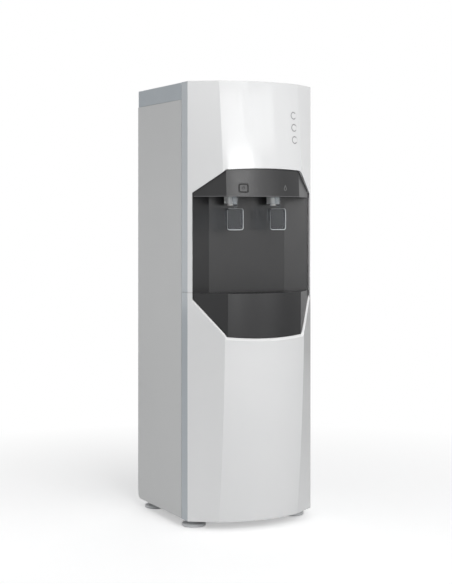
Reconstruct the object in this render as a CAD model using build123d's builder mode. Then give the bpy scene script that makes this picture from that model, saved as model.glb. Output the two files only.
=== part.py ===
from build123d import *
from math import hypot
import os

# Floor-standing point-of-use water cooler, in millimetres. The front faces -Y and +X is to the
# right seen from the front. The origin is on the floor, in the middle of the overall box.

os.makedirs("parts", exist_ok=True)

# Overall size
total_height = 1100.0
foot_height = 20.0
body_width = 348.0
side_depth = 312.0
condenser_reach = 34.0

# Front: straight corner edges, bowed creases and a crowned centre between them
facet_width = 64.0
crease_forward = 44.0
front_bow = 35.0
front_crown = 23.0
panel_wall = 3.0
panel_return = 35.0
edge_round = 2.0
section_count = 5

# Dispensing bay: an octagon with arched top and bottom edges
bay_side_margin = 8.5
bay_end_margin = 7.0
bay_drop = 218.0
bay_height = 407.0
shoulder_drop = 56.0
hip_rise = 93.0
bay_top_arch = 3.5
bay_bottom_arch = 5.0
rim_bevel = 6.0
rim_width = 9.0
rim_depth = 8.0
split_rise = 13.0
seam = 0.6

# Dark pieces set back inside the bay
hood_recess = 5.0
hood_crease_margin = 8.5
hood_wall = 3.0
hood_height = 66.0
hood_lip = 9.0
hood_gap = 0.8
dark_margin = 30.0

# Bay housing behind them
bay_back_margin = 67.0
bay_back_depth = 18.0
bay_flare_margin = 1.0
bay_flare_depth = -8.0
bay_wall = 3.0
tray_depth = 40.0
chin_setback = 8.5
chin_drop = 4.0

# Sheet metal
sheet = 1.2
side_gap = 1.6
side_flange = 18.0
rear_flange = 16.0
tail_round = 16.0
cover_skirt = 42.0
cover_wall = 2.5
cover_round = 4.0
base_sheet = 1.5
base_flange = 18.0
fit_gap = 0.4
slot_vent = (60.0, 5.0)
vent_pitch = 14.0
vent_rows = 9
vent_centre = (-40.0, 230.0)
screw_inset = 9.0
screw_low = 70.0
screw_top_drop = 17.4
screw_rows = 5
screw_shank = 1.5
screw_length = 7.0
screw_head = 3.5
screw_head_height = 2.2

# Feet
foot_radius = 30.0
foot_rim = 6.0
foot_boss = 6.0
foot_side_margin = 34.0
foot_front_y = 36.0
foot_rear_inset = 42.0
stud_radius = 5.0
stud_top = 47.0
stud_tip = 1.0
stud_clearance = 0.05
nut_height = 10.0
nut_radius = 9.5

# Front controls
lens_crease_margin = 21.0
lens_drops = (80.5, 111.0, 141.5)
lens_radius = 9.5
lens_depth = 4.5
lens_board_setback = -45.0
lens_board_width = 26.0
lens_board_margin = 21.5
lens_post_inset = 6.0
led_radius = 2.5
led_height = 5.0
button_x = -61.0
button_rise = 21.0
button_width = 24.2
button_height = 22.2
button_corner = 5.0
button_gap = 0.4
button_travel = 2.0
button_flare = 1.8
button_stem_radius = 3.0
button_stem_setback = -50.0
switch_pad = 6.0
switch_pad_depth = 4.0
switch_board_lift = 6.0
switch_board_width = 40.0
switch_board_height = 26.0
switch_post_rise = 16.0
switch_post_spacing = 30.0
board_thickness = 1.6
post_radius = 2.5

# Taps
tap_half_spacing = 60.0
tap_setback = -8.0
tap_block_width = 26.0
tap_block_depth = 28.0
tap_block_drop = 20.0
tap_bore_radius = 10.0
seat_rise = 7.0
chamber_rise = 24.0
chamber_radius = 14.0
roof_wall = 3.0
stem_radius = 2.5
collar_lift = 4.3
collar_radius = 8.0
spout_drop = 4.0
spout_bore = 4.5
pivot_setback = -33.5
pivot_rise = 7.0
pin_radius = 2.0
paddle_width = 45.0
paddle_drop = 11.0
paddle_length = 54.0
paddle_deep = 16.0
paddle_shallow = 7.0
paddle_wall = 1.8
paddle_corner = 7.0
neck_thickness = 3.0
running_gap = 0.06
lug_inner = 12.5
lug_wall = 3.0
lug_radius = 5.0
lug_reach = 8.0
tap_corner = 5.0
tap_edge = 2.0
flange_margin = 6.0
flange_thickness = 3.0
barb_rise = 19.0
barb_radius = 4.0
barb_bore = 2.5
barb_reach = 34.0
disc_radius = 8.5
disc_height = 4.0
collar_thickness = 3.0
spout_radius = 7.5
spring_wire = 0.7
spring_radius = 5.5
spring_half_turns = 12
neck_top_half = 9.5
neck_foot_half = 5.5
neck_taper = 22.0
barrel_radius = 4.0
fork_spacing = 11.0
fork_width = 3.5
fork_thickness = 3.2
fork_reach = 26.0

# Drip tray
tray_lip_drop = 1.0
tray_rim_drop = 2.0
tray_wall = 2.5
tray_side_gap = 1.0
tray_ledge = 4.0
grille_thickness = 3.0
slot_width = 2.5
slot_length = 66.0
slot_pitch = 7.5
slot_columns = 21
slot_row_y = -40.0

# Tanks and shelves
shelf_sheet = 1.5
shelf_flange = 15.0
shelf_front = 42.0
service_gap = 30.0
upper_shelf_rise = 26.0
lower_shelf_drop = 9.0
tank_back_gap = 39.0
tank_radius = 85.0
tank_wall = 1.5
tank_rise = 19.5
tank_top_drop = 10.0
lid_thickness = 3.0
jacket_size = 216.0
jacket_bore = 93.0
jacket_corner = 30.0
jacket_top_drop = 8.0
coil_tube_radius = 3.6
coil_pitch = 17.0
coil_half_turns = 7
coil_rise = 34.0
coil_tail = 12.0
spigot_radius = 4.0
spigot_length = 16.0
cold_outlet = (60.0, 10.0)
feed_x = 30.0
hot_setback = 150.0
hot_radius = 60.0
hot_rise = 32.5
hot_height = 174.0
hot_jacket = 78.0
heater_flange = 27.0
heater_plug = 20.0
heater_length = 88.0
heater_rod = 3.0
heater_tab = (6.0, 1.5)
thermostat_radius = 10.0
thermostat_spacing = 60.0
hot_outlet_x = -40.0
hose_wall = 1.5
float_offset = 52.0
float_pivot_drop = 38.0
float_body = 9.0
float_body_lift = 5.0
float_ball = 20.0
float_ball_drop = 10.0
float_reach = 72.0

# Cooling machinery
compressor_x = 40.0
compressor_back = 90.0
compressor_radius = 68.0
compressor_dome = 30.0
compressor_heel = 13.0
compressor_bottom = 44.0
compressor_top = 205.0
mount_plate = (170.0, 110.0, 2.5)
mount_height = 34.0
mount_spacing = (150.0, 88.0)
grommet_neck = 7.0
grommet_lip = 3.5
grommet_bore = 2.5
service_setback = 14.0
tube_radius = 2.4
capillary_radius = 1.2
condenser_low = 300.0
condenser_top_drop = 133.4
condenser_rows = 14
condenser_margin = 46.0
wire_radius = 0.8
wire_count = 13
wire_margin = 20.0
weld_sink = 0.25
weld_bead = 2.0
bracket_width = 10.0
dryer_low = 215.0
dryer_high = 275.0
dryer_radius = 9.0
discharge_drop = 55.0
suction_drop = 85.0
line_bend = 8.0
line_offset = 17.0
capillary_offset = 23.0

# Control board
board_margin = 8.5
board_edge = 4.0
board_length = 98.0
transformer = (26.0, 24.0)
relay = (16.0, 14.0)

# Filters and tubes
filter_radius = 29.0
filter_spacing = 80.0
filter_setback = 8.0
filter_bottom_rise = 110.0
filter_top_drop = 80.0
head_radius = 32.0
head_height = 45.0
tube_rise = 30.0
riser_gap = 17.0
riser_top_drop = 22.0
water_tube = 3.1
tube_bend = 11.0

# Back fittings
inlet_margin = 49.0
inlet_z = 130.0
tube_fit_radius = 3.2
tube_fit_depth = 16.0
fitting_radius = 8.0
drain_x = -70.0
drain_heights = (90.0, 150.0)
mains_margin = 49.0
mains_z = 95.0
mains_cavity = (24.0, 16.6)
mains_depth = 16.0
mains_body = (28.0, 20.0)
mains_flange = (33.0, 25.0)
pin_spacing = 14.0
pin_drop = 2.0
pin_section = (2.0, 4.0)
switch_heights = (150.0, 190.0)
switch_cavity = (10.4, 19.6)
switch_body = (13.4, 22.4)
switch_flange = (17.0, 26.0)
rocker_depth = 3.0
rocker_half = 9.0
rocker_rise = 4.5
rocker_dip = 3.2
rocker_swing = 16.0
rocker_width = 9.8
trunnion_radius = 1.5

# Values that follow from the sizes above
half_width = body_width / 2
crease_half = half_width - facet_width
bay_half_width = half_width - bay_side_margin
bay_end_half = crease_half - bay_end_margin
bay_back_half = half_width - bay_back_margin
bay_flare_half = half_width + bay_flare_margin
hood_crease_half = crease_half - hood_crease_margin
bay_top = total_height - bay_drop
bay_shoulder = bay_top - shoulder_drop
bay_bottom = bay_top - bay_height
bay_hip = bay_bottom + hip_rise
split_height = bay_hip + split_rise
hood_bottom = bay_top - hood_height
ceiling_height = hood_bottom + hood_wall
tray_lip = split_height - tray_lip_drop
tray_rim = tray_lip - tray_rim_drop
shelf_top = tray_rim - tray_depth
chin_bottom = bay_bottom - chin_drop
foot_x = half_width - foot_side_margin
lens_x = crease_half - lens_crease_margin
lens_heights = [total_height - drop for drop in lens_drops]
button_z = hood_bottom + button_rise
mid_height = (foot_height + total_height) / 2
half_rise = (total_height - foot_height) / 2
clear_span = 3 * total_height


def bow_at(z):
    """Extra forward reach of the front at a height."""
    return front_bow * (1 - ((z - mid_height) / half_rise) ** 2)


front_reach = crease_forward + bow_at(bay_bottom - bay_bottom_arch - rim_bevel) + front_crown
corner_y = (front_reach - side_depth - condenser_reach) / 2
rear_y = corner_y + side_depth
service_y = rear_y - service_setback
strip_y = corner_y + panel_return
cover_bottom = total_height - cover_skirt
panel_top = cover_bottom - seam
skin_inner = half_width - sheet
screw_top = panel_top - screw_top_drop
screw_heights = [
    screw_low + (screw_top - screw_low) * row / (screw_rows - 1) for row in range(screw_rows)
]


def write_piece(piece, label):
    """Name a finished piece and write it to its own STEP file."""
    piece.part.label = label
    export_step(piece.part, f"parts/{label}.step")


def front_sketch(z, inset, back, half, crease, corner, setback, crown):
    """Level section with the cooler's front outline, drawn in by an inset."""
    crease_y = corner_y - crease_forward - bow_at(z) + setback
    with BuildSketch(Plane.XY.offset(z)) as section:
        with BuildLine():
            ThreePointArc((-crease, crease_y), (0, crease_y - crown), (crease, crease_y))
            Polyline(
                (crease, crease_y),
                (half, corner),
                (half, back),
                (-half, back),
                (-half, corner),
                (-crease, crease_y),
            )
        make_face()
        if inset:
            offset(amount=-inset, kind=Kind.INTERSECTION)
    return section.sketch


def front_form(low, high, sketch_at):
    """Solid lofted through level sections from one height to another."""
    rise = (high - low) / (section_count - 1)
    with BuildPart() as form:
        loft([sketch_at(low + rise * step).face() for step in range(section_count)])
    return form.part


def white_form(inset, low, high, back):
    """Solid bounded by the white front surface, drawn in by an inset."""

    def at(z):
        return front_sketch(z, inset, back, half_width, crease_half, corner_y, 0, front_crown)

    return front_form(low, high, at)


hood_share = hood_crease_half / crease_half
hood_crown = front_crown * hood_share**2
hood_setback = hood_recess - front_crown + hood_crown
facet_run = half_width - crease_half
facet_depth = crease_forward + front_bow
hood_side_y = corner_y - facet_depth * (half_width - bay_half_width) / facet_run + hood_recess
hood_slope = (hood_side_y - corner_y + facet_depth - hood_setback) / (bay_half_width - hood_crease_half)
hood_half = bay_half_width + 2 * hood_wall
hood_corner_y = hood_side_y + (hood_half - bay_half_width) * hood_slope
dark_low = bay_bottom - dark_margin
dark_high = bay_top + dark_margin
dark_back = corner_y + bay_back_depth + bay_wall


def dark_form(inset, back):
    """Solid bounded by the set-back dark front surface, drawn in by an inset."""

    def at(z):
        return front_sketch(
            z, inset, back, hood_half, hood_crease_half, hood_corner_y, hood_setback, hood_crown
        )

    return front_form(dark_low, dark_high, at)


def bay_prism(gap, mode=Mode.INTERSECT):
    """Bay octagon along Y, drawn in by a gap, applied to the part being built."""
    with BuildSketch(Plane.XZ) as octagon:
        with BuildLine():
            Polyline(
                (bay_end_half, bay_top),
                (bay_half_width, bay_shoulder),
                (bay_half_width, bay_hip),
                (bay_end_half, bay_bottom),
            )
            ThreePointArc(
                (bay_end_half, bay_bottom), (0, bay_bottom - bay_bottom_arch), (-bay_end_half, bay_bottom)
            )
            Polyline(
                (-bay_end_half, bay_bottom),
                (-bay_half_width, bay_hip),
                (-bay_half_width, bay_shoulder),
                (-bay_end_half, bay_top),
            )
            ThreePointArc((-bay_end_half, bay_top), (0, bay_top + bay_top_arch), (bay_end_half, bay_top))
        make_face()
        if gap:
            offset(amount=-gap, kind=Kind.INTERSECTION)
    extrude(octagon.sketch, amount=clear_span / 2, both=True, mode=mode)


def cavity_prism(inset, low, high, mode):
    """Plan of the bay with its flared side walls, drawn in by an inset, between two heights."""
    flare_y = corner_y + bay_flare_depth
    back_y = corner_y + bay_back_depth
    open_y = corner_y - 2 * front_reach
    with BuildSketch(Plane.XY.offset(low)) as plan:
        with BuildLine():
            Polyline(
                (bay_flare_half, open_y),
                (bay_flare_half, flare_y),
                (bay_back_half, back_y),
                (-bay_back_half, back_y),
                (-bay_flare_half, flare_y),
                (-bay_flare_half, open_y),
                close=True,
            )
        make_face()
        if inset:
            offset(amount=-inset, kind=Kind.INTERSECTION)
    extrude(plan.sketch, amount=high - low, mode=mode)


def trim_height(low, high):
    """Keep what lies between two heights, in the part being built."""
    with BuildSketch(Plane.XY.offset(low)) as layer:
        Rectangle(clear_span, clear_span)
    extrude(layer.sketch, amount=high - low, mode=Mode.INTERSECT)


def winding(x, y, low, pitch, half_turns, radius):
    """Half circles that climb round a vertical axis, in the line being built."""
    reach = hypot(radius, pitch / 4)
    for step in range(half_turns):
        side = 1 if step % 2 else -1
        z = low + step * pitch / 2
        ThreePointArc(
            (x + side * radius, y, z),
            (x, y + side * reach, z + pitch / 4),
            (x - side * radius, y, z + pitch / 2),
        )


def tube(points, bends, radius):
    """Round tube along straight runs joined by tangent arcs."""
    start = Vector(*points[0])
    with BuildPart() as run:
        with BuildLine():
            FilletPolyline(*points, radius=bends)
        with BuildSketch(Plane(origin=start, z_dir=Vector(*points[1]) - start)):
            Circle(radius)
        sweep()
    return run.part


# Front panels: one bowed shell, split across the bay

with BuildPart() as front_block:
    add(white_form(0, foot_height, total_height, strip_y))
    bay_prism(0, Mode.SUBTRACT)
    rim_edges = (
        front_block.edges()
        .filter_by(Axis.Y, reverse=True)
        .filter_by(lambda e: e.center().Y < hood_side_y - hood_recess)
        .filter_by(lambda e: abs(e.center().X) < bay_half_width + 1)
        .filter_by_position(Axis.Z, bay_bottom - 2 * bay_bottom_arch, (bay_shoulder + bay_hip) / 2 + 1)
    )
    chamfer(rim_edges, length=rim_bevel)

with BuildPart() as front_hollow:
    add(white_form(panel_wall, foot_height - 1, total_height - panel_wall, strip_y + 2 * panel_return))
    bay_prism(-rim_width, Mode.SUBTRACT)
    add(white_form(rim_depth, foot_height - 1, total_height - panel_wall, strip_y + 2 * panel_return))
    with BuildSketch(Plane.XY.offset(foot_height - 1)):
        with Locations((0, strip_y - side_flange - side_gap)):
            Rectangle(2 * (half_width - panel_wall), 2 * panel_return, align=(Align.CENTER, Align.MIN))
    extrude(amount=total_height - panel_wall - foot_height + 1)

with BuildPart() as upper_front_panel:
    add(front_block.part)
    add(front_hollow.part, mode=Mode.SUBTRACT)
    trim_height(split_height + seam / 2, total_height)
    with BuildSketch(Plane.XZ):
        with Locations(*[(lens_x, z) for z in lens_heights]):
            Circle(lens_radius + button_gap / 2)
    extrude(amount=clear_span / 2, mode=Mode.SUBTRACT)
write_piece(upper_front_panel, "upper_front_panel")

with BuildPart() as lower_front_panel:
    add(front_block.part)
    add(front_hollow.part, mode=Mode.SUBTRACT)
    trim_height(foot_height, split_height - seam / 2)
write_piece(lower_front_panel, "lower_front_panel")

# Dark hood with its lip, lock button and switch

stem_y = corner_y + button_stem_setback
switch_y = stem_y + button_travel + fit_gap
switch_board_y = switch_y + switch_pad_depth


def button_prism(margin, mode):
    """Rounded square of the lock button along Y, grown by a margin."""
    with BuildSketch(Plane.XZ) as outline:
        with Locations((button_x, button_z)):
            RectangleRounded(button_width + 2 * margin, button_height + 2 * margin, button_corner)
    extrude(outline.sketch, amount=clear_span / 2, mode=mode)


with BuildPart() as hood_lip_edge:
    add(dark_form(0, corner_y + hood_wall))
    add(dark_form(hood_lip, corner_y + bay_back_depth), mode=Mode.SUBTRACT)
    cavity_prism(fit_gap, hood_bottom, ceiling_height, Mode.INTERSECT)
    bay_prism(bay_wall + 2 * fit_gap)

with BuildPart() as hood_fascia:
    add(dark_form(0, corner_y + hood_wall))
    add(dark_form(hood_wall, corner_y + bay_back_depth), mode=Mode.SUBTRACT)
    trim_height(hood_bottom, dark_high)
    add(hood_lip_edge.part)
    bay_prism(hood_gap)
    button_prism(button_gap, Mode.SUBTRACT)
write_piece(hood_fascia, "hood_fascia")

with BuildPart() as button_flange:
    add(dark_form(hood_wall + fit_gap, corner_y + hood_wall))
    add(dark_form(2 * hood_wall, corner_y + bay_back_depth), mode=Mode.SUBTRACT)
    button_prism(button_flare, Mode.INTERSECT)

with BuildPart() as lock_button:
    add(dark_form(0, corner_y + hood_wall))
    add(dark_form(2 * hood_wall, corner_y + bay_back_depth), mode=Mode.SUBTRACT)
    button_prism(0, Mode.INTERSECT)
    add(button_flange.part)
    with BuildSketch(Plane.XZ.offset(-stem_y)):
        with Locations((button_x, button_z)):
            Circle(button_stem_radius)
    extrude(until=Until.NEXT)
write_piece(lock_button, "lock_button")

with BuildPart() as lock_switch:
    with BuildSketch(Plane.XZ.offset(-switch_y)):
        with Locations((button_x, button_z)):
            Rectangle(switch_pad, switch_pad)
    extrude(amount=-switch_pad_depth)
    with BuildSketch(Plane.XZ.offset(-switch_board_y)):
        with Locations((button_x, button_z + switch_board_lift)):
            Rectangle(switch_board_width, switch_board_height)
    extrude(amount=-board_thickness)
    with BuildSketch(Plane.XZ.offset(-switch_board_y)):
        with Locations((button_x, button_z + switch_post_rise)):
            with GridLocations(switch_post_spacing, 1, 2, 1):
                Circle(post_radius)
    extrude(amount=front_reach)
    add(dark_form(hood_wall, corner_y + panel_return), mode=Mode.INTERSECT)
write_piece(lock_switch, "lock_switch")

# Housing of the dispensing bay: back, flared sides, ceiling, tray shelf and chin

tap_y = corner_y + tap_setback
pivot_y = corner_y + pivot_setback
tap_block_bottom = ceiling_height - tap_block_drop
seat_height = tap_block_bottom + seat_rise
spout_bottom = tap_block_bottom - spout_drop
chamber_roof = ceiling_height + chamber_rise
collar_height = chamber_roof + roof_wall + collar_lift
pivot_height = chamber_roof + pivot_rise
paddle_top = tap_block_bottom - paddle_drop
paddle_bottom = paddle_top - paddle_length
neck_shoulder = ceiling_height + bay_wall
neck_waist = neck_shoulder - neck_taper
barb_height = ceiling_height + barb_rise


def tap_opening(mode):
    """Openings in the bay ceiling for the two taps."""
    front = pivot_y - neck_thickness / 2 - fit_gap * 5
    back = tap_y + tap_block_depth / 2 + fit_gap
    with BuildSketch(Plane.XY.offset(ceiling_height - 1)) as holes:
        with Locations((-tap_half_spacing, (front + back) / 2), (tap_half_spacing, (front + back) / 2)):
            Rectangle(tap_block_width + 2 * fit_gap, back - front)
    extrude(holes.sketch, amount=bay_wall + 2, mode=mode)


with BuildPart() as bay_chin:
    add(dark_form(chin_setback, dark_back))
    add(dark_form(chin_setback + bay_wall, dark_back + bay_wall * 4), mode=Mode.SUBTRACT)
    trim_height(chin_bottom, shelf_top)
    bay_prism(fit_gap)

with BuildPart() as bay_space:
    cavity_prism(0, shelf_top, ceiling_height, Mode.ADD)
    bay_prism(fit_gap + bay_wall)

with BuildPart() as bay_housing:
    add(dark_form(hood_wall + fit_gap, dark_back + hood_wall))
    cavity_prism(-bay_wall, shelf_top - bay_wall, ceiling_height + bay_wall, Mode.INTERSECT)
    add(bay_space.part, mode=Mode.SUBTRACT)
    add(bay_chin.part)
    bay_prism(fit_gap)
    tap_opening(Mode.SUBTRACT)
write_piece(bay_housing, "bay_housing")

# Drip tray with its faceted front, and the grille that lifts out of it


def tray_form(front_inset, plan_inset, octagon_gap, low, high):
    """Solid that fills the tray's plan inside the bay between two heights."""
    with BuildPart() as form:
        add(dark_form(front_inset, dark_back + front_inset))
        cavity_prism(plan_inset, low, high, Mode.INTERSECT)
        bay_prism(octagon_gap)
    return form.part


tray_gap = fit_gap + bay_wall + hood_gap


def tray_seat(gap, high):
    """Solid of the rebate that the grille lies in, drawn in by a gap."""
    return tray_form(
        hood_wall - tray_side_gap + gap,
        tray_side_gap + tray_wall / 2 + gap,
        tray_gap + tray_wall / 2 + gap,
        tray_rim - grille_thickness,
        high,
    )


with BuildPart() as drip_tray:
    add(dark_form(0, dark_back))
    add(dark_form(hood_wall, dark_back + bay_wall * 4), mode=Mode.SUBTRACT)
    trim_height(bay_bottom - 2 * bay_bottom_arch, tray_lip)
    cavity_prism(-2 * bay_wall, bay_bottom - 2 * bay_bottom_arch, tray_lip, Mode.INTERSECT)
    bay_prism(hood_gap)
    add(tray_form(tray_side_gap, tray_side_gap, tray_gap, shelf_top, tray_rim))
    add(tray_seat(0, tray_lip), mode=Mode.SUBTRACT)
    basin_cut = tray_form(
        hood_wall + tray_ledge,
        tray_side_gap + tray_wall + tray_ledge,
        tray_gap + tray_wall,
        shelf_top + tray_wall,
        tray_rim,
    )
    add(basin_cut, mode=Mode.SUBTRACT)
write_piece(drip_tray, "drip_tray")

with BuildPart() as drip_grille:
    add(tray_seat(fit_gap, tray_rim))
    with BuildSketch(Plane.XY.offset(tray_rim - grille_thickness)):
        with Locations((0, corner_y + slot_row_y)):
            with GridLocations(slot_pitch, 1, slot_columns, 1):
                SlotOverall(slot_length, slot_width, rotation=90)
    extrude(amount=grille_thickness, mode=Mode.SUBTRACT)
write_piece(drip_grille, "drip_grille")

# Indicator lenses and their board

lens_board_y = corner_y + lens_board_setback
lens_low = lens_heights[-1] - 2 * lens_radius
lens_high = lens_heights[0] + 2 * lens_radius
lens_middle = (lens_heights[0] + lens_heights[-1]) / 2
lens_board_height = lens_heights[0] - lens_heights[-1] + 2 * lens_board_margin

with BuildPart() as indicator_lenses:
    add(white_form(0, lens_low, lens_high, strip_y))
    add(white_form(lens_depth, lens_low - 1, lens_high + 1, strip_y + panel_return), mode=Mode.SUBTRACT)
    with BuildSketch(Plane.XZ):
        with Locations(*[(lens_x, z) for z in lens_heights]):
            Circle(lens_radius)
    extrude(amount=clear_span / 2, mode=Mode.INTERSECT)
write_piece(indicator_lenses, "indicator_lenses")

with BuildPart() as indicator_board:
    with BuildSketch(Plane.XZ.offset(-lens_board_y)):
        with Locations((lens_x, lens_middle)):
            Rectangle(lens_board_width, lens_board_height)
    extrude(amount=-board_thickness)
    with BuildSketch(Plane.XZ.offset(-lens_board_y)):
        with Locations(*[(lens_x, z) for z in lens_heights]):
            Circle(led_radius)
    extrude(amount=led_height)
    with BuildSketch(Plane.XZ.offset(-lens_board_y)):
        with Locations((lens_x, lens_middle)):
            with GridLocations(1, lens_board_height - 2 * lens_post_inset, 1, 2):
                Circle(post_radius)
    extrude(amount=front_reach)
    board_reach = lens_board_height / 2 + lens_board_margin
    add(
        white_form(panel_wall, lens_middle - board_reach, lens_middle + board_reach, strip_y),
        mode=Mode.INTERSECT,
    )
write_piece(indicator_board, "indicator_board")

# Taps: a clear body hung from the ceiling, a push lever in front and a sprung valve inside

tap_flange = ceiling_height + bay_wall
block_front = tap_y - tap_block_depth / 2
block_back = tap_y + tap_block_depth / 2
lever_front = pivot_y - neck_thickness / 2
lug_front = pivot_y - lug_reach
fork_tip = pivot_y + fork_reach


def tap_body(x):
    """Clear tap body: block, flange on the ceiling, valve chamber, pivot lugs and hose barb."""
    with BuildPart() as body:
        with BuildSketch(Plane.XY.offset(tap_block_bottom)):
            with Locations((x, tap_y)):
                RectangleRounded(tap_block_width, tap_block_depth, tap_corner)
        extrude(amount=tap_flange - tap_block_bottom)
        fillet(body.edges().group_by(Axis.Z)[0], radius=tap_edge)
        with BuildSketch(Plane.XY.offset(tap_flange)):
            with Locations((x, (lug_front + block_back + flange_margin) / 2)):
                RectangleRounded(
                    tap_block_width + 3 * flange_margin, block_back + flange_margin - lug_front, tap_corner
                )
        extrude(amount=flange_thickness)
        with BuildSketch(Plane.XY.offset(tap_flange)):
            with Locations((x, tap_y)):
                Circle(chamber_radius)
        extrude(amount=chamber_roof + roof_wall - tap_flange)
        with BuildSketch(Plane.YZ.offset(x - lug_inner - lug_wall)):
            with Locations((pivot_y, pivot_height)):
                Circle(lug_radius)
            with BuildLine():
                Polyline(
                    (pivot_y - lug_radius, pivot_height),
                    (pivot_y + lug_radius, pivot_height),
                    (tap_y, tap_flange + flange_thickness),
                    (lug_front, tap_flange + flange_thickness),
                    close=True,
                )
            make_face()
        extrude(amount=lug_wall)
        mirror_plane = Plane.YZ.offset(x)
        mirror(body.part, about=mirror_plane)
        with BuildSketch(Plane.XY.offset(tap_flange - 1)):
            with Locations((x, (lug_front + block_front) / 2)):
                Rectangle(2 * lug_inner, block_front - lug_front + 2 * flange_thickness)
        extrude(amount=flange_thickness + 1, mode=Mode.SUBTRACT)
        with Locations(Plane.XZ.offset(-tap_y).location * Location((x, barb_height, 0))):
            Cylinder(barb_radius, barb_reach, align=(Align.CENTER, Align.CENTER, Align.MAX))
        with BuildSketch(Plane.XY.offset(tap_block_bottom)):
            with Locations((x, tap_y)):
                Circle(tap_bore_radius)
        extrude(amount=chamber_roof - tap_block_bottom, mode=Mode.SUBTRACT)
        with BuildSketch(Plane.XY.offset(chamber_roof)):
            with Locations((x, tap_y)):
                Circle(stem_radius + running_gap)
        extrude(amount=roof_wall, mode=Mode.SUBTRACT)
        with BuildSketch(Plane.XZ.offset(-tap_y)):
            with Locations((x, barb_height)):
                Circle(barb_bore)
        extrude(amount=-barb_reach, mode=Mode.SUBTRACT)
        with BuildSketch(Plane.YZ.offset(x)):
            with Locations((pivot_y, pivot_height)):
                Circle(pin_radius + running_gap / 3)
        extrude(amount=2 * lug_inner, both=True, mode=Mode.SUBTRACT)
    return body


def tap_lever(x):
    """Push lever: a tapered hollow paddle on a narrowing neck, with a fork that lifts the valve."""
    with BuildPart() as lever:
        with BuildSketch(Plane.XZ.offset(-lever_front - paddle_deep)):
            with Locations((x, (paddle_top + paddle_bottom) / 2)):
                RectangleRounded(paddle_width, paddle_top - paddle_bottom, paddle_corner)
        extrude(amount=paddle_deep)
        slant = Plane(
            origin=(x, lever_front + paddle_deep, paddle_top),
            x_dir=(1, 0, 0),
            z_dir=(0, paddle_top - paddle_bottom, paddle_shallow - paddle_deep),
        )
        split(bisect_by=slant, keep=Keep.BOTTOM)
        offset(amount=-paddle_wall, openings=lever.faces().sort_by(Axis.Y)[-1])
        with BuildSketch(Plane.XZ.offset(-lever_front)):
            with BuildLine():
                Polyline(
                    (x - neck_top_half, pivot_height),
                    (x - neck_top_half, neck_shoulder),
                    (x - neck_foot_half, neck_waist),
                    (x - neck_foot_half, paddle_top - paddle_wall),
                    (x + neck_foot_half, paddle_top - paddle_wall),
                    (x + neck_foot_half, neck_waist),
                    (x + neck_top_half, neck_shoulder),
                    (x + neck_top_half, pivot_height),
                    close=True,
                )
            make_face()
        extrude(amount=-neck_thickness)
        with BuildSketch(Plane.YZ.offset(x)):
            with Locations((pivot_y, pivot_height)):
                Circle(barrel_radius)
        extrude(amount=lug_inner - fit_gap, both=True)
        with BuildSketch(Plane.XY.offset(collar_height - fit_gap)):
            with Locations((x, (pivot_y + fork_tip) / 2)):
                with GridLocations(fork_spacing, 1, 2, 1):
                    Rectangle(fork_width, fork_tip - pivot_y)
        extrude(amount=-fork_thickness)
        with BuildSketch(Plane.YZ.offset(x)):
            with Locations((pivot_y, pivot_height)):
                Circle(pin_radius + running_gap)
        extrude(amount=2 * lug_inner, both=True, mode=Mode.SUBTRACT)
    return lever


def valve_stem(x):
    """Stem with its seat disc below and the lifting collar above."""
    with BuildPart() as stem:
        with BuildSketch(Plane(origin=(x, tap_y, 0), x_dir=(1, 0, 0), z_dir=(0, -1, 0))):
            with BuildLine():
                Polyline(
                    (0, seat_height),
                    (disc_radius, seat_height),
                    (disc_radius, seat_height + disc_height),
                    (stem_radius, seat_height + disc_height),
                    (stem_radius, collar_height),
                    (collar_radius, collar_height),
                    (collar_radius, collar_height + collar_thickness),
                    (0, collar_height + collar_thickness),
                    close=True,
                )
            make_face()
        revolve(axis=Axis((x, tap_y, 0), (0, 0, 1)))
    return stem


def valve_spring(x):
    """Compression spring round the stem, between the seat disc and the chamber roof."""
    low = seat_height + disc_height + spring_wire
    high = chamber_roof - spring_wire
    with BuildPart() as spring:
        with BuildLine():
            winding(x, tap_y, low, 2 * (high - low) / spring_half_turns, spring_half_turns, spring_radius)
        with BuildSketch(Plane.XZ.offset(-tap_y)):
            with Locations((x - spring_radius, low)):
                Circle(spring_wire)
        sweep()
    return spring


for side, x in (("hot", -tap_half_spacing), ("cold", tap_half_spacing)):
    write_piece(tap_body(x), f"{side}_tap_body")
    write_piece(tap_lever(x), f"{side}_lever")
    write_piece(valve_stem(x), f"{side}_valve_stem")
    write_piece(valve_spring(x), f"{side}_valve_spring")


def tap_spout():
    """Spout that plugs the foot of a tap body, about the Z axis."""
    with BuildPart() as spout:
        with BuildSketch(Plane.XZ):
            with BuildLine():
                Polyline(
                    (spout_bore, spout_bottom),
                    (spout_radius, spout_bottom),
                    (spout_radius, tap_block_bottom),
                    (tap_bore_radius - running_gap, tap_block_bottom),
                    (tap_bore_radius - running_gap, seat_height),
                    (spout_bore, seat_height),
                    close=True,
                )
            make_face()
        revolve(axis=Axis.Z)
    return spout.part


tap_spots = ((-tap_half_spacing, tap_y), (tap_half_spacing, tap_y))
with BuildPart() as tap_spouts:
    with Locations(*tap_spots):
        add(tap_spout())
write_piece(tap_spouts, "tap_spouts")

with BuildPart() as lever_pins:
    for x in (-tap_half_spacing, tap_half_spacing):
        with BuildSketch(Plane.YZ.offset(x)):
            with Locations((pivot_y, pivot_height)):
                Circle(pin_radius)
        extrude(amount=lug_inner + lug_wall, both=True)
write_piece(lever_pins, "lever_pins")

# Sheet-metal shell: sides with a joggled front edge, rear panel, top cover and base pan

flange_x = half_width - panel_wall - fit_gap - sheet / 2
joggle_y = strip_y + side_gap + sheet / 2
skin_x = half_width - sheet / 2
rear_inner = rear_y - sheet
side_screws = [(half_width - screw_inset, z) for z in screw_heights]

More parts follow.
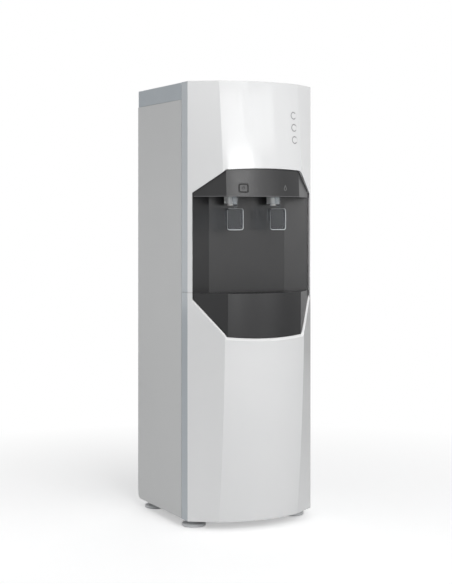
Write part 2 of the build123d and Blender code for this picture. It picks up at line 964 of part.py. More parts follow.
with BuildPart() as right_side_panel:
    with BuildSketch(Plane.XY.offset(foot_height)):
        with BuildLine():
            Polyline(
                (flange_x, strip_y - side_flange),
                (flange_x, joggle_y),
                (skin_x, joggle_y),
                (skin_x, rear_inner - sheet / 2),
                (half_width - rear_flange, rear_inner - sheet / 2),
            )
        trace(line_width=sheet)
    extrude(amount=panel_top - foot_height)
    with BuildSketch(Plane.YZ) as side_outline:
        with Locations((rear_y, foot_height)):
            Rectangle(side_depth, panel_top - foot_height, align=(Align.MAX, Align.MIN))
        tail = side_outline.vertices().group_by(Axis.Y)[0].sort_by(Axis.X)[-1]
        fillet(tail, radius=tail_round)
    extrude(amount=half_width, mode=Mode.INTERSECT)
    with BuildSketch(Plane.XZ.offset(-rear_y)):
        with Locations(*side_screws):
            Circle(screw_shank + running_gap)
    extrude(amount=rear_flange, mode=Mode.SUBTRACT)
write_piece(right_side_panel, "right_side_panel")

with BuildPart() as left_side_panel:
    mirror(right_side_panel.part, about=Plane.YZ)
write_piece(left_side_panel, "left_side_panel")

panel_screw_spots = side_screws + [(-x, z) for x, z in side_screws]
condenser_half = half_width - condenser_margin
condenser_high = panel_top - condenser_top_drop
condenser_pitch = (condenser_high - condenser_low) / (condenser_rows - 1)
inlet_x = inlet_margin - half_width
mains_x = half_width - mains_margin
rear_low = foot_height + base_flange

with BuildPart() as rear_panel:
    with BuildSketch(Plane.XZ.offset(-rear_y)) as plate:
        with Locations((0, (rear_low + panel_top) / 2)):
            Rectangle(body_width, panel_top - rear_low)
        with Locations((vent_centre[0], vent_centre[1])):
            with GridLocations(slot_vent[0] * 1.4, vent_pitch, 2, vent_rows):
                SlotOverall(*slot_vent, mode=Mode.SUBTRACT)
        with Locations(*panel_screw_spots):
            Circle(screw_shank + fit_gap / 2, mode=Mode.SUBTRACT)
        with Locations((-condenser_half, condenser_low), (-condenser_half, condenser_high)):
            Circle(2 * tube_radius, mode=Mode.SUBTRACT)
        with Locations((inlet_x, inlet_z), *[(drain_x, z) for z in drain_heights]):
            Circle(fitting_radius + fit_gap / 2, mode=Mode.SUBTRACT)
        with Locations((mains_x, mains_z)):
            Rectangle(mains_body[0] + fit_gap, mains_body[1] + fit_gap, mode=Mode.SUBTRACT)
        with Locations(*[(mains_x, z) for z in switch_heights]):
            Rectangle(switch_body[0] + fit_gap, switch_body[1] + fit_gap, mode=Mode.SUBTRACT)
    extrude(amount=sheet)
write_piece(rear_panel, "rear_panel")

with BuildPart() as panel_screws:
    with BuildSketch(Plane.XZ.offset(-rear_y)):
        with Locations(*panel_screw_spots):
            Circle(screw_shank)
    extrude(amount=screw_length)
    with BuildSketch(Plane.XZ.offset(-rear_y)):
        with Locations(*panel_screw_spots):
            Circle(screw_head)
            RegularPolygon(screw_head / 2, 6, mode=Mode.SUBTRACT)
    extrude(amount=-screw_head_height)
    with BuildSketch(Plane.XZ.offset(-rear_y)):
        with Locations(*panel_screw_spots):
            Circle(screw_head)
    extrude(amount=-screw_head_height / 2)
write_piece(panel_screws, "panel_screws")

cover_front = strip_y + seam
with BuildPart() as top_cover:
    with BuildSketch(Plane.XY.offset(cover_bottom)):
        with Locations((0, (cover_front + rear_y) / 2)):
            Rectangle(body_width, rear_y - cover_front)
    extrude(amount=cover_skirt)
    fillet(top_cover.edges().filter_by(Axis.Z).group_by(Axis.Y)[-1], radius=cover_round)
    fillet(top_cover.edges().group_by(Axis.Z)[-1].sort_by(Axis.Y)[1:], radius=edge_round)
    offset(amount=-cover_wall, openings=top_cover.faces().sort_by(Axis.Z)[0])
    with BuildSketch(Plane.XY.offset(cover_bottom - 4 * edge_round)):
        with Locations((0, joggle_y + sheet)):
            Rectangle(
                2 * (skin_inner - fit_gap),
                rear_y - 2 * sheet - fit_gap - joggle_y - sheet,
                align=(Align.CENTER, Align.MIN),
            )
        offset(amount=-cover_wall, kind=Kind.INTERSECTION, mode=Mode.SUBTRACT)
    extrude(amount=cover_skirt + 4 * edge_round - cover_wall)
write_piece(top_cover, "top_cover")

base_inset = panel_wall + 2 * fit_gap + sheet
base_back = rear_y - 2 * sheet - fit_gap + base_inset
foot_spots = {
    "front_left": (-foot_x, corner_y + foot_front_y),
    "front_right": (foot_x, corner_y + foot_front_y),
    "rear_left": (-foot_x, rear_y - foot_rear_inset),
    "rear_right": (foot_x, rear_y - foot_rear_inset),
}


def base_block(inset):
    """Block of the base pan with its rounded tail, drawn in by an inset."""
    with BuildPart() as block:
        outline = front_sketch(
            foot_height + inset,
            base_inset + inset,
            base_back,
            half_width,
            crease_half,
            corner_y,
            0,
            front_crown,
        )
        extrude(outline, amount=base_flange)
        tail = block.edges().filter_by(Axis.X).group_by(Axis.Z)[0].sort_by(Axis.Y)[-1]
        fillet(tail, radius=tail_round - sheet - inset)
    return block.part


with BuildPart() as base_plate:
    add(base_block(0))
    add(base_block(base_sheet), mode=Mode.SUBTRACT)
    with BuildSketch(Plane.XY.offset(foot_height + base_sheet)):
        with Locations(*foot_spots.values()):
            RegularPolygon(nut_radius, 6)
    extrude(amount=nut_height)
    with BuildSketch(Plane.XY.offset(foot_height)):
        with Locations(*foot_spots.values()):
            Circle(stud_radius + stud_clearance)
    extrude(amount=nut_height + base_sheet, mode=Mode.SUBTRACT)
write_piece(base_plate, "base_plate")

# Levelling feet

boss_radius = stud_radius + foot_boss
boss_top = foot_height - fit_gap / 2

with BuildPart() as foot:
    with BuildSketch(Plane.XZ):
        with BuildLine():
            Polyline(
                (0, 0),
                (foot_radius - edge_round, 0),
                (foot_radius, edge_round),
                (foot_radius, foot_rim),
                (foot_radius - edge_round, foot_rim + edge_round),
                (boss_radius, foot_rim + foot_boss),
                (boss_radius, boss_top),
                (stud_radius, boss_top),
                (stud_radius, stud_top - stud_tip),
                (stud_radius - stud_tip, stud_top),
                (0, stud_top),
                close=True,
            )
        make_face()
    revolve(axis=Axis.Z)

for spot, (x, y) in foot_spots.items():
    with BuildPart() as placed_foot:
        with Locations((x, y, 0)):
            add(foot.part)
    write_piece(placed_foot, f"{spot}_foot")

# Shelves, cold tank with its coil and float, hot tank with its heater

upper_shelf = ceiling_height + upper_shelf_rise
lower_shelf = split_height - lower_shelf_drop
tank_bottom = upper_shelf + shelf_sheet + tank_rise
jacket_top = cover_bottom - jacket_top_drop
tank_top = jacket_top - tank_top_drop
coil_low = tank_bottom + coil_rise
coil_high = coil_low + coil_half_turns * coil_pitch / 2
float_pivot = tank_top - float_pivot_drop
hot_bottom = lower_shelf + shelf_sheet + hot_rise
hot_top = hot_bottom + hot_height
riser_x = jacket_size / 2 + riser_gap
riser_top = total_height - riser_top_drop
tank_y = rear_y - tank_back_gap - jacket_size / 2
coil_leg = jacket_size / 2 + coil_tail
hot_y = corner_y + hot_setback
riser_y = tank_y + float_offset
cold_outlet_spot = (cold_outlet[0], tank_y - 2 * cold_outlet[1])


def shelf(height, hole_spots):
    """Channel shelf between the side panels, with holes for hoses and the riser tube."""
    with BuildPart() as channel:
        with BuildSketch(Plane.XZ.offset(-corner_y - shelf_front)):
            with BuildLine():
                Polyline(
                    (-skin_inner + shelf_sheet / 2, height - shelf_flange),
                    (-skin_inner + shelf_sheet / 2, height + shelf_sheet / 2),
                    (skin_inner - shelf_sheet / 2, height + shelf_sheet / 2),
                    (skin_inner - shelf_sheet / 2, height - shelf_flange),
                )
            trace(line_width=shelf_sheet)
        extrude(amount=-(side_depth - shelf_front - service_gap))
        with BuildSketch(Plane.XY.offset(height)):
            with Locations(*hole_spots, (riser_x, riser_y)):
                Circle(spigot_radius + 3 * hose_wall)
        extrude(amount=shelf_sheet, mode=Mode.SUBTRACT)
    return channel


write_piece(shelf(upper_shelf, [cold_outlet_spot, (feed_x, tank_y)]), "upper_shelf")
write_piece(shelf(lower_shelf, [(0, hot_y)]), "lower_shelf")

with BuildPart() as cold_tank:
    with BuildSketch(Plane.XY.offset(tank_bottom)):
        with Locations((0, tank_y)):
            Circle(tank_radius)
    extrude(amount=tank_top - tank_bottom)
    fillet(cold_tank.edges().group_by(Axis.Z)[0], radius=4 * tank_wall)
    offset(amount=-tank_wall, openings=cold_tank.faces().sort_by(Axis.Z)[-1])
    with BuildSketch(Plane.XY.offset(tank_bottom + tank_wall)):
        with Locations(cold_outlet_spot, (feed_x, tank_y)):
            Circle(spigot_radius)
    extrude(amount=-spigot_length - tank_wall)
    with BuildSketch(Plane.XY.offset(tank_bottom + tank_wall)):
        with Locations(cold_outlet_spot, (feed_x, tank_y)):
            Circle(spigot_radius - tank_wall)
    extrude(amount=-spigot_length - tank_wall, mode=Mode.SUBTRACT)
write_piece(cold_tank, "cold_tank")

with BuildPart() as cold_tank_lid:
    with BuildSketch(Plane.XY.offset(tank_top)):
        with Locations((0, tank_y)):
            Circle(jacket_bore - fit_gap)
        with Locations((0, riser_y)):
            Circle(float_body + running_gap, mode=Mode.SUBTRACT)
    extrude(amount=lid_thickness)
    with BuildSketch(Plane.XY.offset(tank_top)):
        with Locations((0, tank_y)):
            Circle(tank_radius - tank_wall - fit_gap)
            Circle(tank_radius - 2 * tank_wall - fit_gap, mode=Mode.SUBTRACT)
    extrude(amount=-2 * lid_thickness)
write_piece(cold_tank_lid, "cold_tank_lid")

coil_radius = tank_radius + coil_tube_radius + running_gap

with BuildPart() as evaporator_coil:
    with BuildLine():
        Line((-coil_radius, tank_y + coil_leg, coil_low), (-coil_radius, tank_y, coil_low))
        winding(0, tank_y, coil_low, coil_pitch, coil_half_turns, coil_radius)
        Line((coil_radius, tank_y, coil_high), (coil_radius, tank_y + coil_leg, coil_high))
    with BuildSketch(Plane.XZ.offset(-tank_y - coil_leg)):
        with Locations((-coil_radius, coil_low)):
            Circle(coil_tube_radius)
    sweep()
write_piece(evaporator_coil, "evaporator_coil")

with BuildPart() as cold_tank_insulation:
    with BuildSketch(Plane.XY.offset(upper_shelf + shelf_sheet)):
        with Locations((0, tank_y)):
            RectangleRounded(jacket_size, jacket_size, jacket_corner)
    extrude(amount=jacket_top - upper_shelf - shelf_sheet)
    with BuildSketch(Plane.XY.offset(tank_bottom)):
        with Locations((0, tank_y)):
            Circle(jacket_bore)
    extrude(amount=jacket_top - tank_bottom, mode=Mode.SUBTRACT)
    with BuildSketch(Plane.XY.offset(upper_shelf)):
        with Locations(cold_outlet_spot, (feed_x, tank_y)):
            Circle(spigot_radius + 2 * hose_wall)
    extrude(amount=tank_bottom - upper_shelf, mode=Mode.SUBTRACT)
    with BuildSketch(Plane.XZ.offset(-tank_y)):
        with Locations((-coil_radius, coil_low), (coil_radius, coil_high)):
            SlotOverall(4 * coil_tube_radius, 2.4 * coil_tube_radius, rotation=90)
    extrude(amount=-jacket_size, mode=Mode.SUBTRACT)
write_piece(cold_tank_insulation, "cold_tank_insulation")

float_body_low = float_pivot + float_body_lift

with BuildPart() as float_valve:
    with BuildSketch(Plane.XY.offset(float_body_low)):
        with Locations((0, riser_y)):
            Circle(float_body)
    extrude(amount=tank_top + 6 * lid_thickness - float_body_low)
    with BuildSketch(Plane.XY.offset(tank_top + lid_thickness)):
        with Locations((0, riser_y)):
            RegularPolygon(1.5 * float_body, 6)
    extrude(amount=2 * lid_thickness)
    with BuildSketch(Plane.XY.offset(float_body_low)):
        with Locations((0, riser_y)):
            with GridLocations(3 * water_tube, 1, 2, 1):
                Rectangle(lid_thickness, float_body)
    extrude(amount=-float_body_lift - 2 * screw_shank)
    with BuildSketch(Plane.YZ):
        with Locations((riser_y, float_pivot)):
            Circle(screw_shank)
    extrude(amount=2 * water_tube, both=True)
    with BuildSketch(Plane.XY.offset(riser_top)):
        with Locations((0, riser_y)):
            Circle(water_tube + running_gap)
    extrude(amount=-riser_top + tank_top, mode=Mode.SUBTRACT)
write_piece(float_valve, "float_valve")

with BuildPart() as float_arm:
    with BuildSketch(Plane.XY.offset(float_pivot - float_ball_drop)):
        with Locations((0, riser_y - float_reach)):
            Circle(float_ball)
    extrude(amount=float_ball / 2, both=True)
    fillet(float_arm.edges().filter_by(GeomType.CIRCLE), radius=float_ball / 4)
    with BuildSketch(Plane.YZ):
        with Locations((riser_y, float_pivot)):
            Circle(2 * screw_shank - running_gap)
        with Locations((riser_y - float_reach / 2, float_pivot)):
            Rectangle(float_reach, 2 * screw_shank)
    extrude(amount=water_tube - fit_gap, both=True)
    with BuildSketch(Plane.YZ):
        with Locations((riser_y, float_pivot)):
            Circle(screw_shank + running_gap)
    extrude(amount=2 * water_tube, both=True, mode=Mode.SUBTRACT)
write_piece(float_arm, "float_arm")


def hot_vessel(inset):
    """Closed round-edged cylinder of the hot tank, drawn in by an inset."""
    with BuildPart() as vessel:
        with BuildSketch(Plane.XY.offset(hot_bottom + inset)):
            with Locations((0, hot_y)):
                Circle(hot_radius - inset)
        extrude(amount=hot_top - hot_bottom - 2 * inset)
        fillet(vessel.edges().filter_by(GeomType.CIRCLE), radius=4 * tank_wall - inset)
    return vessel.part


with BuildPart() as hot_tank:
    add(hot_vessel(0))
    with BuildSketch(Plane.XY.offset(hot_top)):
        with Locations((hot_outlet_x, hot_y), (feed_x, hot_y)):
            Circle(spigot_radius)
    extrude(amount=spigot_length)
    add(hot_vessel(tank_wall), mode=Mode.SUBTRACT)
    with BuildSketch(Plane.XY.offset(hot_top - 2 * tank_wall)):
        with Locations((hot_outlet_x, hot_y), (feed_x, hot_y)):
            Circle(spigot_radius - tank_wall)
    extrude(amount=spigot_length + 2 * tank_wall, mode=Mode.SUBTRACT)
    with BuildSketch(Plane.XY.offset(hot_bottom)):
        with Locations((0, hot_y)):
            Circle(heater_plug)
    extrude(amount=tank_wall, mode=Mode.SUBTRACT)
write_piece(hot_tank, "hot_tank")

with BuildPart() as hot_tank_insulation:
    with BuildSketch(Plane.XY.offset(lower_shelf + shelf_sheet)):
        with Locations((0, hot_y)):
            Circle(hot_jacket)
            Circle(heater_flange + 4 * heater_rod, mode=Mode.SUBTRACT)
    extrude(amount=hot_bottom - lower_shelf - shelf_sheet)
    with BuildSketch(Plane.XY.offset(hot_bottom)):
        with Locations((0, hot_y)):
            Circle(hot_jacket)
            Circle(hot_radius + fit_gap, mode=Mode.SUBTRACT)
    extrude(amount=hot_top - hot_bottom)
write_piece(hot_tank_insulation, "hot_tank_insulation")

with BuildPart() as heater:
    with BuildSketch(Plane.XY.offset(hot_bottom)):
        with Locations((0, hot_y)):
            Circle(heater_flange)
    extrude(amount=-2 * tank_wall)
    with BuildSketch(Plane.XY.offset(hot_bottom)):
        with Locations((0, hot_y)):
            Circle(heater_plug - running_gap)
    extrude(amount=2 * tank_wall)
    with BuildSketch(Plane.XY.offset(hot_bottom - 2 * tank_wall)):
        with Locations((0, hot_y)):
            with GridLocations(heater_plug, 1, 2, 1):
                Rectangle(*heater_tab)
    extrude(amount=-spigot_length)
    add(
        tube(
            [
                (-heater_plug / 2, hot_y, hot_bottom + tank_wall),
                (-heater_plug / 2, hot_y, hot_bottom + heater_length),
                (heater_plug / 2, hot_y, hot_bottom + heater_length),
                (heater_plug / 2, hot_y, hot_bottom + tank_wall),
            ],
            heater_plug / 2 - fit_gap,
            heater_rod,
        )
    )
write_piece(heater, "heater")

with BuildPart() as thermostats:
    with BuildSketch(Plane.XY.offset(hot_top)):
        with Locations((0, hot_y)):
            with GridLocations(1, thermostat_spacing, 1, 2):
                Circle(thermostat_radius)
    extrude(amount=spigot_length / 2)
    with BuildSketch(Plane.XY.offset(hot_top + spigot_length / 2)):
        with Locations((0, hot_y)):
            with GridLocations(thermostat_radius, thermostat_spacing, 2, 2):
                Rectangle(heater_tab[1], heater_tab[0])
    extrude(amount=spigot_length / 2)
write_piece(thermostats, "thermostats")


def hose(points, bends):
    """Soft hose that slides over a spigot at each end."""
    with BuildPart() as run:
        add(tube(points, bends, spigot_radius + running_gap + hose_wall))
        add(tube(points, bends, spigot_radius + running_gap), mode=Mode.SUBTRACT)
    return run.part


barb_end = tap_y + barb_reach / 2
with BuildPart() as tap_hoses:
    add(
        hose(
            [
                (tap_half_spacing, barb_end, barb_height),
                (tap_half_spacing, cold_outlet_spot[1], barb_height),
                (tap_half_spacing, cold_outlet_spot[1], tank_bottom - 2 * hose_wall),
            ],
            spigot_length * 0.8,
        )
    )
    add(
        hose(
            [
                (-tap_half_spacing, barb_end, barb_height),
                (-tap_half_spacing, barb_end + 3 * spigot_length, barb_height),
                (hot_outlet_x, hot_y, barb_height),
                (hot_outlet_x, hot_y, hot_top + 2 * hose_wall),
            ],
            spigot_length,
        )
    )
    add(
        hose(
            [
                (feed_x, tank_y, tank_bottom - 2 * hose_wall),
                (feed_x, tank_y, tank_bottom - 3 * spigot_length),
                (feed_x, hot_y, hot_top + 1.5 * spigot_length),
                (feed_x, hot_y, hot_top + 2 * hose_wall),
            ],
            spigot_length / 2,
        )
    )
write_piece(tap_hoses, "tap_hoses")

# Cooling machinery: compressor on its rubber mounts, wire condenser on the back, copper lines

compressor_y = rear_y - compressor_back
condenser_y = rear_y + condenser_reach - tube_radius - 2 * wire_radius + weld_sink
mount_spots = GridLocations(mount_spacing[0], mount_spacing[1], 2, 2).locations

with BuildPart() as compressor:
    with BuildSketch(Plane.XY.offset(compressor_bottom)):
        with Locations((compressor_x, compressor_y)):
            Circle(compressor_radius)
    extrude(amount=compressor_top - compressor_bottom)
    fillet(compressor.edges().group_by(Axis.Z)[-1], radius=compressor_dome)
    fillet(compressor.edges().group_by(Axis.Z)[0], radius=compressor_heel)
    with BuildSketch(Plane.XY.offset((compressor_top + compressor_bottom) / 2)):
        with Locations((compressor_x, compressor_y)):
            Circle(compressor_radius + weld_bead)
    extrude(amount=2 * weld_bead)
    with BuildSketch(Plane.XY.offset(mount_height)):
        with Locations((compressor_x, compressor_y)):
            Rectangle(mount_plate[0], mount_plate[1])
            with Locations(*mount_spots):
                Circle(grommet_neck + running_gap, mode=Mode.SUBTRACT)
    extrude(amount=mount_plate[2])
    with BuildSketch(Plane.XY.offset(mount_height + mount_plate[2])):
        with Locations((compressor_x, compressor_y)):
            Circle(compressor_radius - 2 * compressor_heel)
    extrude(amount=compressor_bottom - mount_height)
write_piece(compressor, "compressor")

with BuildPart() as grommet:
    with BuildSketch(Plane.XZ):
        with BuildLine():
            Polyline(
                (grommet_bore, foot_height + base_sheet),
                (grommet_neck + grommet_lip, foot_height + base_sheet),
                (grommet_neck + grommet_lip, mount_height),
                (grommet_neck, mount_height),
                (grommet_neck, mount_height + mount_plate[2]),
                (grommet_neck + grommet_lip, mount_height + mount_plate[2]),
                (grommet_neck, mount_height + 2 * mount_plate[2]),
                (grommet_bore, mount_height + 2 * mount_plate[2]),
                close=True,
            )
        make_face()
    revolve(axis=Axis.Z)

with BuildPart() as compressor_grommets:
    with Locations((compressor_x, compressor_y, 0)):
        with Locations(*mount_spots):
            add(grommet.part)
write_piece(compressor_grommets, "compressor_grommets")

coil_end = rear_y - 2 * sheet
row_heights = [condenser_low + row * condenser_pitch for row in range(condenser_rows)]
condenser_path = [(-condenser_half, coil_end, condenser_low)]
for row, height in enumerate(row_heights):
    entry_x = condenser_half if row % 2 else -condenser_half
    condenser_path += [(entry_x, condenser_y, height), (-entry_x, condenser_y, height)]
condenser_path.append((-condenser_half, coil_end, condenser_high))

with BuildPart() as condenser_coil:
    add(tube(condenser_path, condenser_pitch / 2 - fit_gap, tube_radius))
write_piece(condenser_coil, "condenser_coil")

wire_offset = tube_radius + wire_radius - weld_sink
wire_spacing = 2 * (condenser_half - wire_margin) / (wire_count - 1)
bracket_x = wire_spacing * (wire_count // 2 - 0.5)
with BuildPart() as condenser_wires:
    with BuildSketch(Plane.XY.offset(condenser_low - condenser_pitch / 4)):
        with Locations((0, condenser_y)):
            with GridLocations(wire_spacing, 2 * wire_offset, wire_count, 2):
                Circle(wire_radius)
    extrude(amount=condenser_high - condenser_low + condenser_pitch / 2)
write_piece(condenser_wires, "condenser_wires")

bracket_rows = (row_heights[1], row_heights[-2])
with BuildPart() as condenser_brackets:
    with BuildSketch(Plane.YZ.offset(bracket_x - bracket_width / 2)):
        for height in bracket_rows:
            with Locations((rear_y, height)):
                Rectangle(
                    condenser_y - rear_y + 2 * tube_radius, 4 * tube_radius, align=(Align.MIN, Align.CENTER)
                )
                Rectangle(2 * wire_radius, 12 * tube_radius, align=(Align.MIN, Align.CENTER))
            with Locations((condenser_y, height)):
                Circle(tube_radius + running_gap, mode=Mode.SUBTRACT)
    extrude(amount=bracket_width)
    mirror(condenser_brackets.part, about=Plane.YZ)
write_piece(condenser_brackets, "condenser_brackets")

evaporator_end_y = tank_y + coil_leg
discharge_x = compressor_x - compressor_radius - line_offset
discharge_z = compressor_top - discharge_drop
suction_z = compressor_top - suction_drop
suction_chord = (compressor_radius**2 - (coil_radius - compressor_x) ** 2) ** 0.5
suction_y = compressor_y + suction_chord + tube_radius + fit_gap
capillary_x = capillary_offset - condenser_half
capillary_low = dryer_low - 2 * dryer_radius

with BuildPart() as refrigerant_lines:
    add(
        tube(
            [
                (compressor_x - compressor_radius, compressor_y, discharge_z),
                (discharge_x, compressor_y, discharge_z),
                (discharge_x, service_y, discharge_z),
                (discharge_x, service_y, condenser_high),
                (-condenser_half, service_y, condenser_high),
                (-condenser_half, coil_end, condenser_high),
            ],
            line_bend,
            tube_radius,
        )
    )
    add(
        tube(
            [
                (-condenser_half, coil_end, condenser_low),
                (-condenser_half, service_y, condenser_low),
                (-condenser_half, service_y, dryer_high),
            ],
            line_bend,
            tube_radius,
        )
    )
    with BuildSketch(Plane.XZ.offset(-service_y)):
        with BuildLine():
            Polyline(
                (-condenser_half, dryer_low),
                (-condenser_half + tube_radius, dryer_low),
                (-condenser_half + dryer_radius, dryer_low + dryer_radius),
                (-condenser_half + dryer_radius, dryer_high - dryer_radius),
                (-condenser_half + tube_radius, dryer_high),
                (-condenser_half, dryer_high),
                close=True,
            )
        make_face()
    revolve(axis=Axis((-condenser_half, service_y, 0), (0, 0, 1)))
    add(
        tube(
            [
                (-condenser_half, service_y, dryer_low),
                (-condenser_half, service_y, capillary_low),
                (capillary_x, service_y, capillary_low),
                (capillary_x, service_y, coil_low),
                (-coil_radius, service_y, coil_low),
                (-coil_radius, evaporator_end_y, coil_low),
            ],
            line_bend * 0.75,
            capillary_radius,
        )
    )
    add(
        tube(
            [
                (coil_radius, evaporator_end_y, coil_high),
                (coil_radius, service_y, coil_high),
                (coil_radius, service_y, suction_z),
                (coil_radius, suction_y, suction_z),
            ],
            line_bend,
            tube_radius,
        )
    )
write_piece(refrigerant_lines, "refrigerant_lines")

# Water filters on their head rail, with the push-fit tubes

filter_y = corner_y + filter_setback
filter_bottom = foot_height + filter_bottom_rise
filter_top = bay_bottom - filter_top_drop
tube_height = filter_top + tube_rise
with BuildPart() as filter_cartridges:
    with BuildSketch(Plane.XY.offset(filter_bottom)):
        with GridLocations(filter_spacing, 1, 3, 1):
            with Locations((0, filter_y)):
                Circle(filter_radius)
    extrude(amount=filter_top - filter_bottom)
    fillet(filter_cartridges.edges().filter_by(GeomType.CIRCLE), radius=filter_radius / 3)
    with BuildSketch(Plane.XY.offset(filter_top)):
        with GridLocations(filter_spacing, 1, 3, 1):
            with Locations((0, filter_y)):
                Circle(filter_radius / 2)
    extrude(amount=head_height / 2)
write_piece(filter_cartridges, "filter_cartridges")

with BuildPart() as filter_head_rail:
    with BuildSketch(Plane.XY.offset(filter_top)):
        with GridLocations(filter_spacing, 1, 3, 1):
            with Locations((0, filter_y)):
                Circle(head_radius)
    extrude(amount=head_height)
    with BuildSketch(Plane.XY.offset(filter_top + head_height)):
        with Locations((0, filter_y)):
            Rectangle(2 * (flange_x - sheet / 2), strip_y - filter_y, align=(Align.CENTER, Align.MIN))
    extrude(amount=-2 * sheet)
    with BuildSketch(Plane.XY.offset(filter_top)):
        with GridLocations(filter_spacing, 1, 3, 1):
            with Locations((0, filter_y)):
                Circle(filter_radius / 2 + running_gap)
    extrude(amount=head_height / 2, mode=Mode.SUBTRACT)
write_piece(filter_head_rail, "filter_head_rail")

valve_back = rear_y - 2 * tube_fit_depth
valve_front = valve_back - 4 * tube_fit_depth / 2
with BuildPart() as inlet_valve:
    with BuildSketch(Plane.XZ.offset(-valve_back)):
        with Locations((inlet_x, inlet_z)):
            Rectangle(3 * fitting_radius, 3 * fitting_radius)
    extrude(amount=valve_back - valve_front)
    with BuildSketch(Plane.XY.offset(inlet_z)):
        with Locations((inlet_x, (valve_back + valve_front) / 2)):
            Circle(1.4 * fitting_radius)
    extrude(amount=5 * fitting_radius)
    with BuildSketch(Plane.XZ.offset(-valve_front)):
        with Locations((inlet_x, inlet_z)):
            Circle(fitting_radius)
    extrude(amount=fitting_radius)
write_piece(inlet_valve, "inlet_valve")

with BuildPart() as water_inlet:
    with BuildSketch(Plane.XZ.offset(-valve_back)):
        with Locations((inlet_x, inlet_z)):
            Circle(fitting_radius)
    extrude(amount=valve_back - rear_y - fitting_radius)
    with BuildSketch(Plane.XZ.offset(-rear_y)):
        with Locations((inlet_x, inlet_z)):
            RegularPolygon(1.4 * fitting_radius, 6)
    extrude(amount=-fitting_radius / 2)
    with BuildSketch(Plane.XZ.offset(-rear_y - fitting_radius)):
        with Locations((inlet_x, inlet_z)):
            Circle(tube_fit_radius)
    extrude(amount=tube_fit_depth, mode=Mode.SUBTRACT)
    with BuildSketch(Plane.XZ.offset(-rear_y)):
        with Locations((inlet_x, inlet_z)):
            Circle(tube_fit_radius - hose_wall)
    extrude(amount=2 * tube_fit_depth, mode=Mode.SUBTRACT)
write_piece(water_inlet, "water_inlet")

head_end = filter_spacing + head_radius
supply_y = valve_front - 5 * fitting_radius
with BuildPart() as water_tubes:
    add(
        tube(
            [
                (inlet_x, valve_front - fitting_radius, inlet_z),
                (inlet_x, supply_y, inlet_z),
                (inlet_x, supply_y, tube_height),
                (inlet_x, filter_y, tube_height),
                (-head_end, filter_y, tube_height),
            ],
            tube_bend,
            water_tube,
        )
    )
    add(
        tube(
            [
                (head_end, filter_y, tube_height),
                (riser_x, filter_y, tube_height),
                (riser_x, riser_y, tube_height),
                (riser_x, riser_y, riser_top),
                (0, riser_y, riser_top),
                (0, riser_y, tank_top + 2 * lid_thickness),
            ],
            tube_bend,
            water_tube,
        )
    )
write_piece(water_tubes, "water_tubes")

with BuildPart() as drain_outlets:
    for height in drain_heights:
        with BuildSketch(Plane.XZ.offset(-rear_y + 2 * tube_fit_depth)):
            with Locations((drain_x, height)):
                Circle(fitting_radius)
        extrude(amount=-2 * tube_fit_depth)
        with BuildSketch(Plane.XZ.offset(-rear_y)):
            with Locations((drain_x, height)):
                Circle(fitting_radius * 1.5)
        extrude(amount=-fitting_radius / 2)
        with BuildSketch(Plane.XZ.offset(-rear_y - fitting_radius / 2)):
            with Locations((drain_x, height)):
                RegularPolygon(fitting_radius * 1.3, 6)
        extrude(amount=-fitting_radius)
write_piece(drain_outlets, "drain_outlets")

# Mains inlet and rocker switches

with BuildPart() as mains_inlet:
    with BuildSketch(Plane.XZ.offset(-rear_y)):
        with Locations((mains_x, mains_z)):
            RectangleRounded(*mains_flange, edge_round)
    extrude(amount=-edge_round)
    with BuildSketch(Plane.XZ.offset(-rear_y)):
        with Locations((mains_x, mains_z)):
            Rectangle(*mains_body)
    extrude(amount=mains_depth + edge_round)
    with BuildSketch(Plane.XZ.offset(-rear_y - edge_round)):
        with Locations((mains_x, mains_z)):
            Rectangle(*mains_cavity)
    extrude(amount=mains_depth, mode=Mode.SUBTRACT)
    with BuildSketch(Plane.XZ.offset(-rear_y + mains_depth - edge_round)):
        with Locations((mains_x, mains_z - pin_drop)):
            with GridLocations(pin_spacing, 1, 2, 1):
                Rectangle(*pin_section)
        with Locations((mains_x, mains_z + pin_drop)):
            Rectangle(*pin_section)
    extrude(amount=3 * edge_round - mains_depth)
write_piece(mains_inlet, "mains_inlet")

rocker_y = rear_y - rocker_depth
with BuildPart() as switch_housings:
    for height in switch_heights:
        with BuildSketch(Plane.XZ.offset(-rear_y)):
            with Locations((mains_x, height)):
                RectangleRounded(*switch_flange, edge_round)
        extrude(amount=-edge_round)
        with BuildSketch(Plane.XZ.offset(-rear_y)):
            with Locations((mains_x, height)):
                Rectangle(*switch_body)
        extrude(amount=mains_depth + edge_round)
        with BuildSketch(Plane.XZ.offset(-rear_y - edge_round)):
            with Locations((mains_x, height)):
                Rectangle(*switch_cavity)
        extrude(amount=mains_depth, mode=Mode.SUBTRACT)
        with BuildSketch(Plane.YZ.offset(mains_x)):
            with Locations((rocker_y, height)):
                Circle(trunnion_radius + running_gap)
        extrude(amount=switch_body[0] / 2, both=True, mode=Mode.SUBTRACT)
write_piece(switch_housings, "switch_housings")

rocker_lean = Vector(0, 1, 0).rotate(Axis.X, -rocker_swing / 2)
for label, height in zip(("cold_switch", "hot_switch"), switch_heights):
    with BuildPart() as rocker:
        with BuildSketch(Plane(origin=(mains_x, rocker_y, height), x_dir=rocker_lean, z_dir=(1, 0, 0))):
            with BuildLine():
                Polyline(
                    (rocker_rise, rocker_half),
                    (rocker_dip, 0),
                    (rocker_rise, -rocker_half),
                    (0, -rocker_half),
                    (-rocker_rise, -rocker_half / 2),
                    (-rocker_rise, rocker_half / 2),
                    (0, rocker_half),
                    close=True,
                )
            make_face()
        extrude(amount=rocker_width / 2, both=True)
        with BuildSketch(Plane.YZ.offset(mains_x)):
            with Locations((rocker_y, height)):
                Circle(trunnion_radius)
        extrude(amount=switch_body[0] / 2 - running_gap, both=True)
    write_piece(rocker, label)

# Control board on the upper shelf, beside the insulation

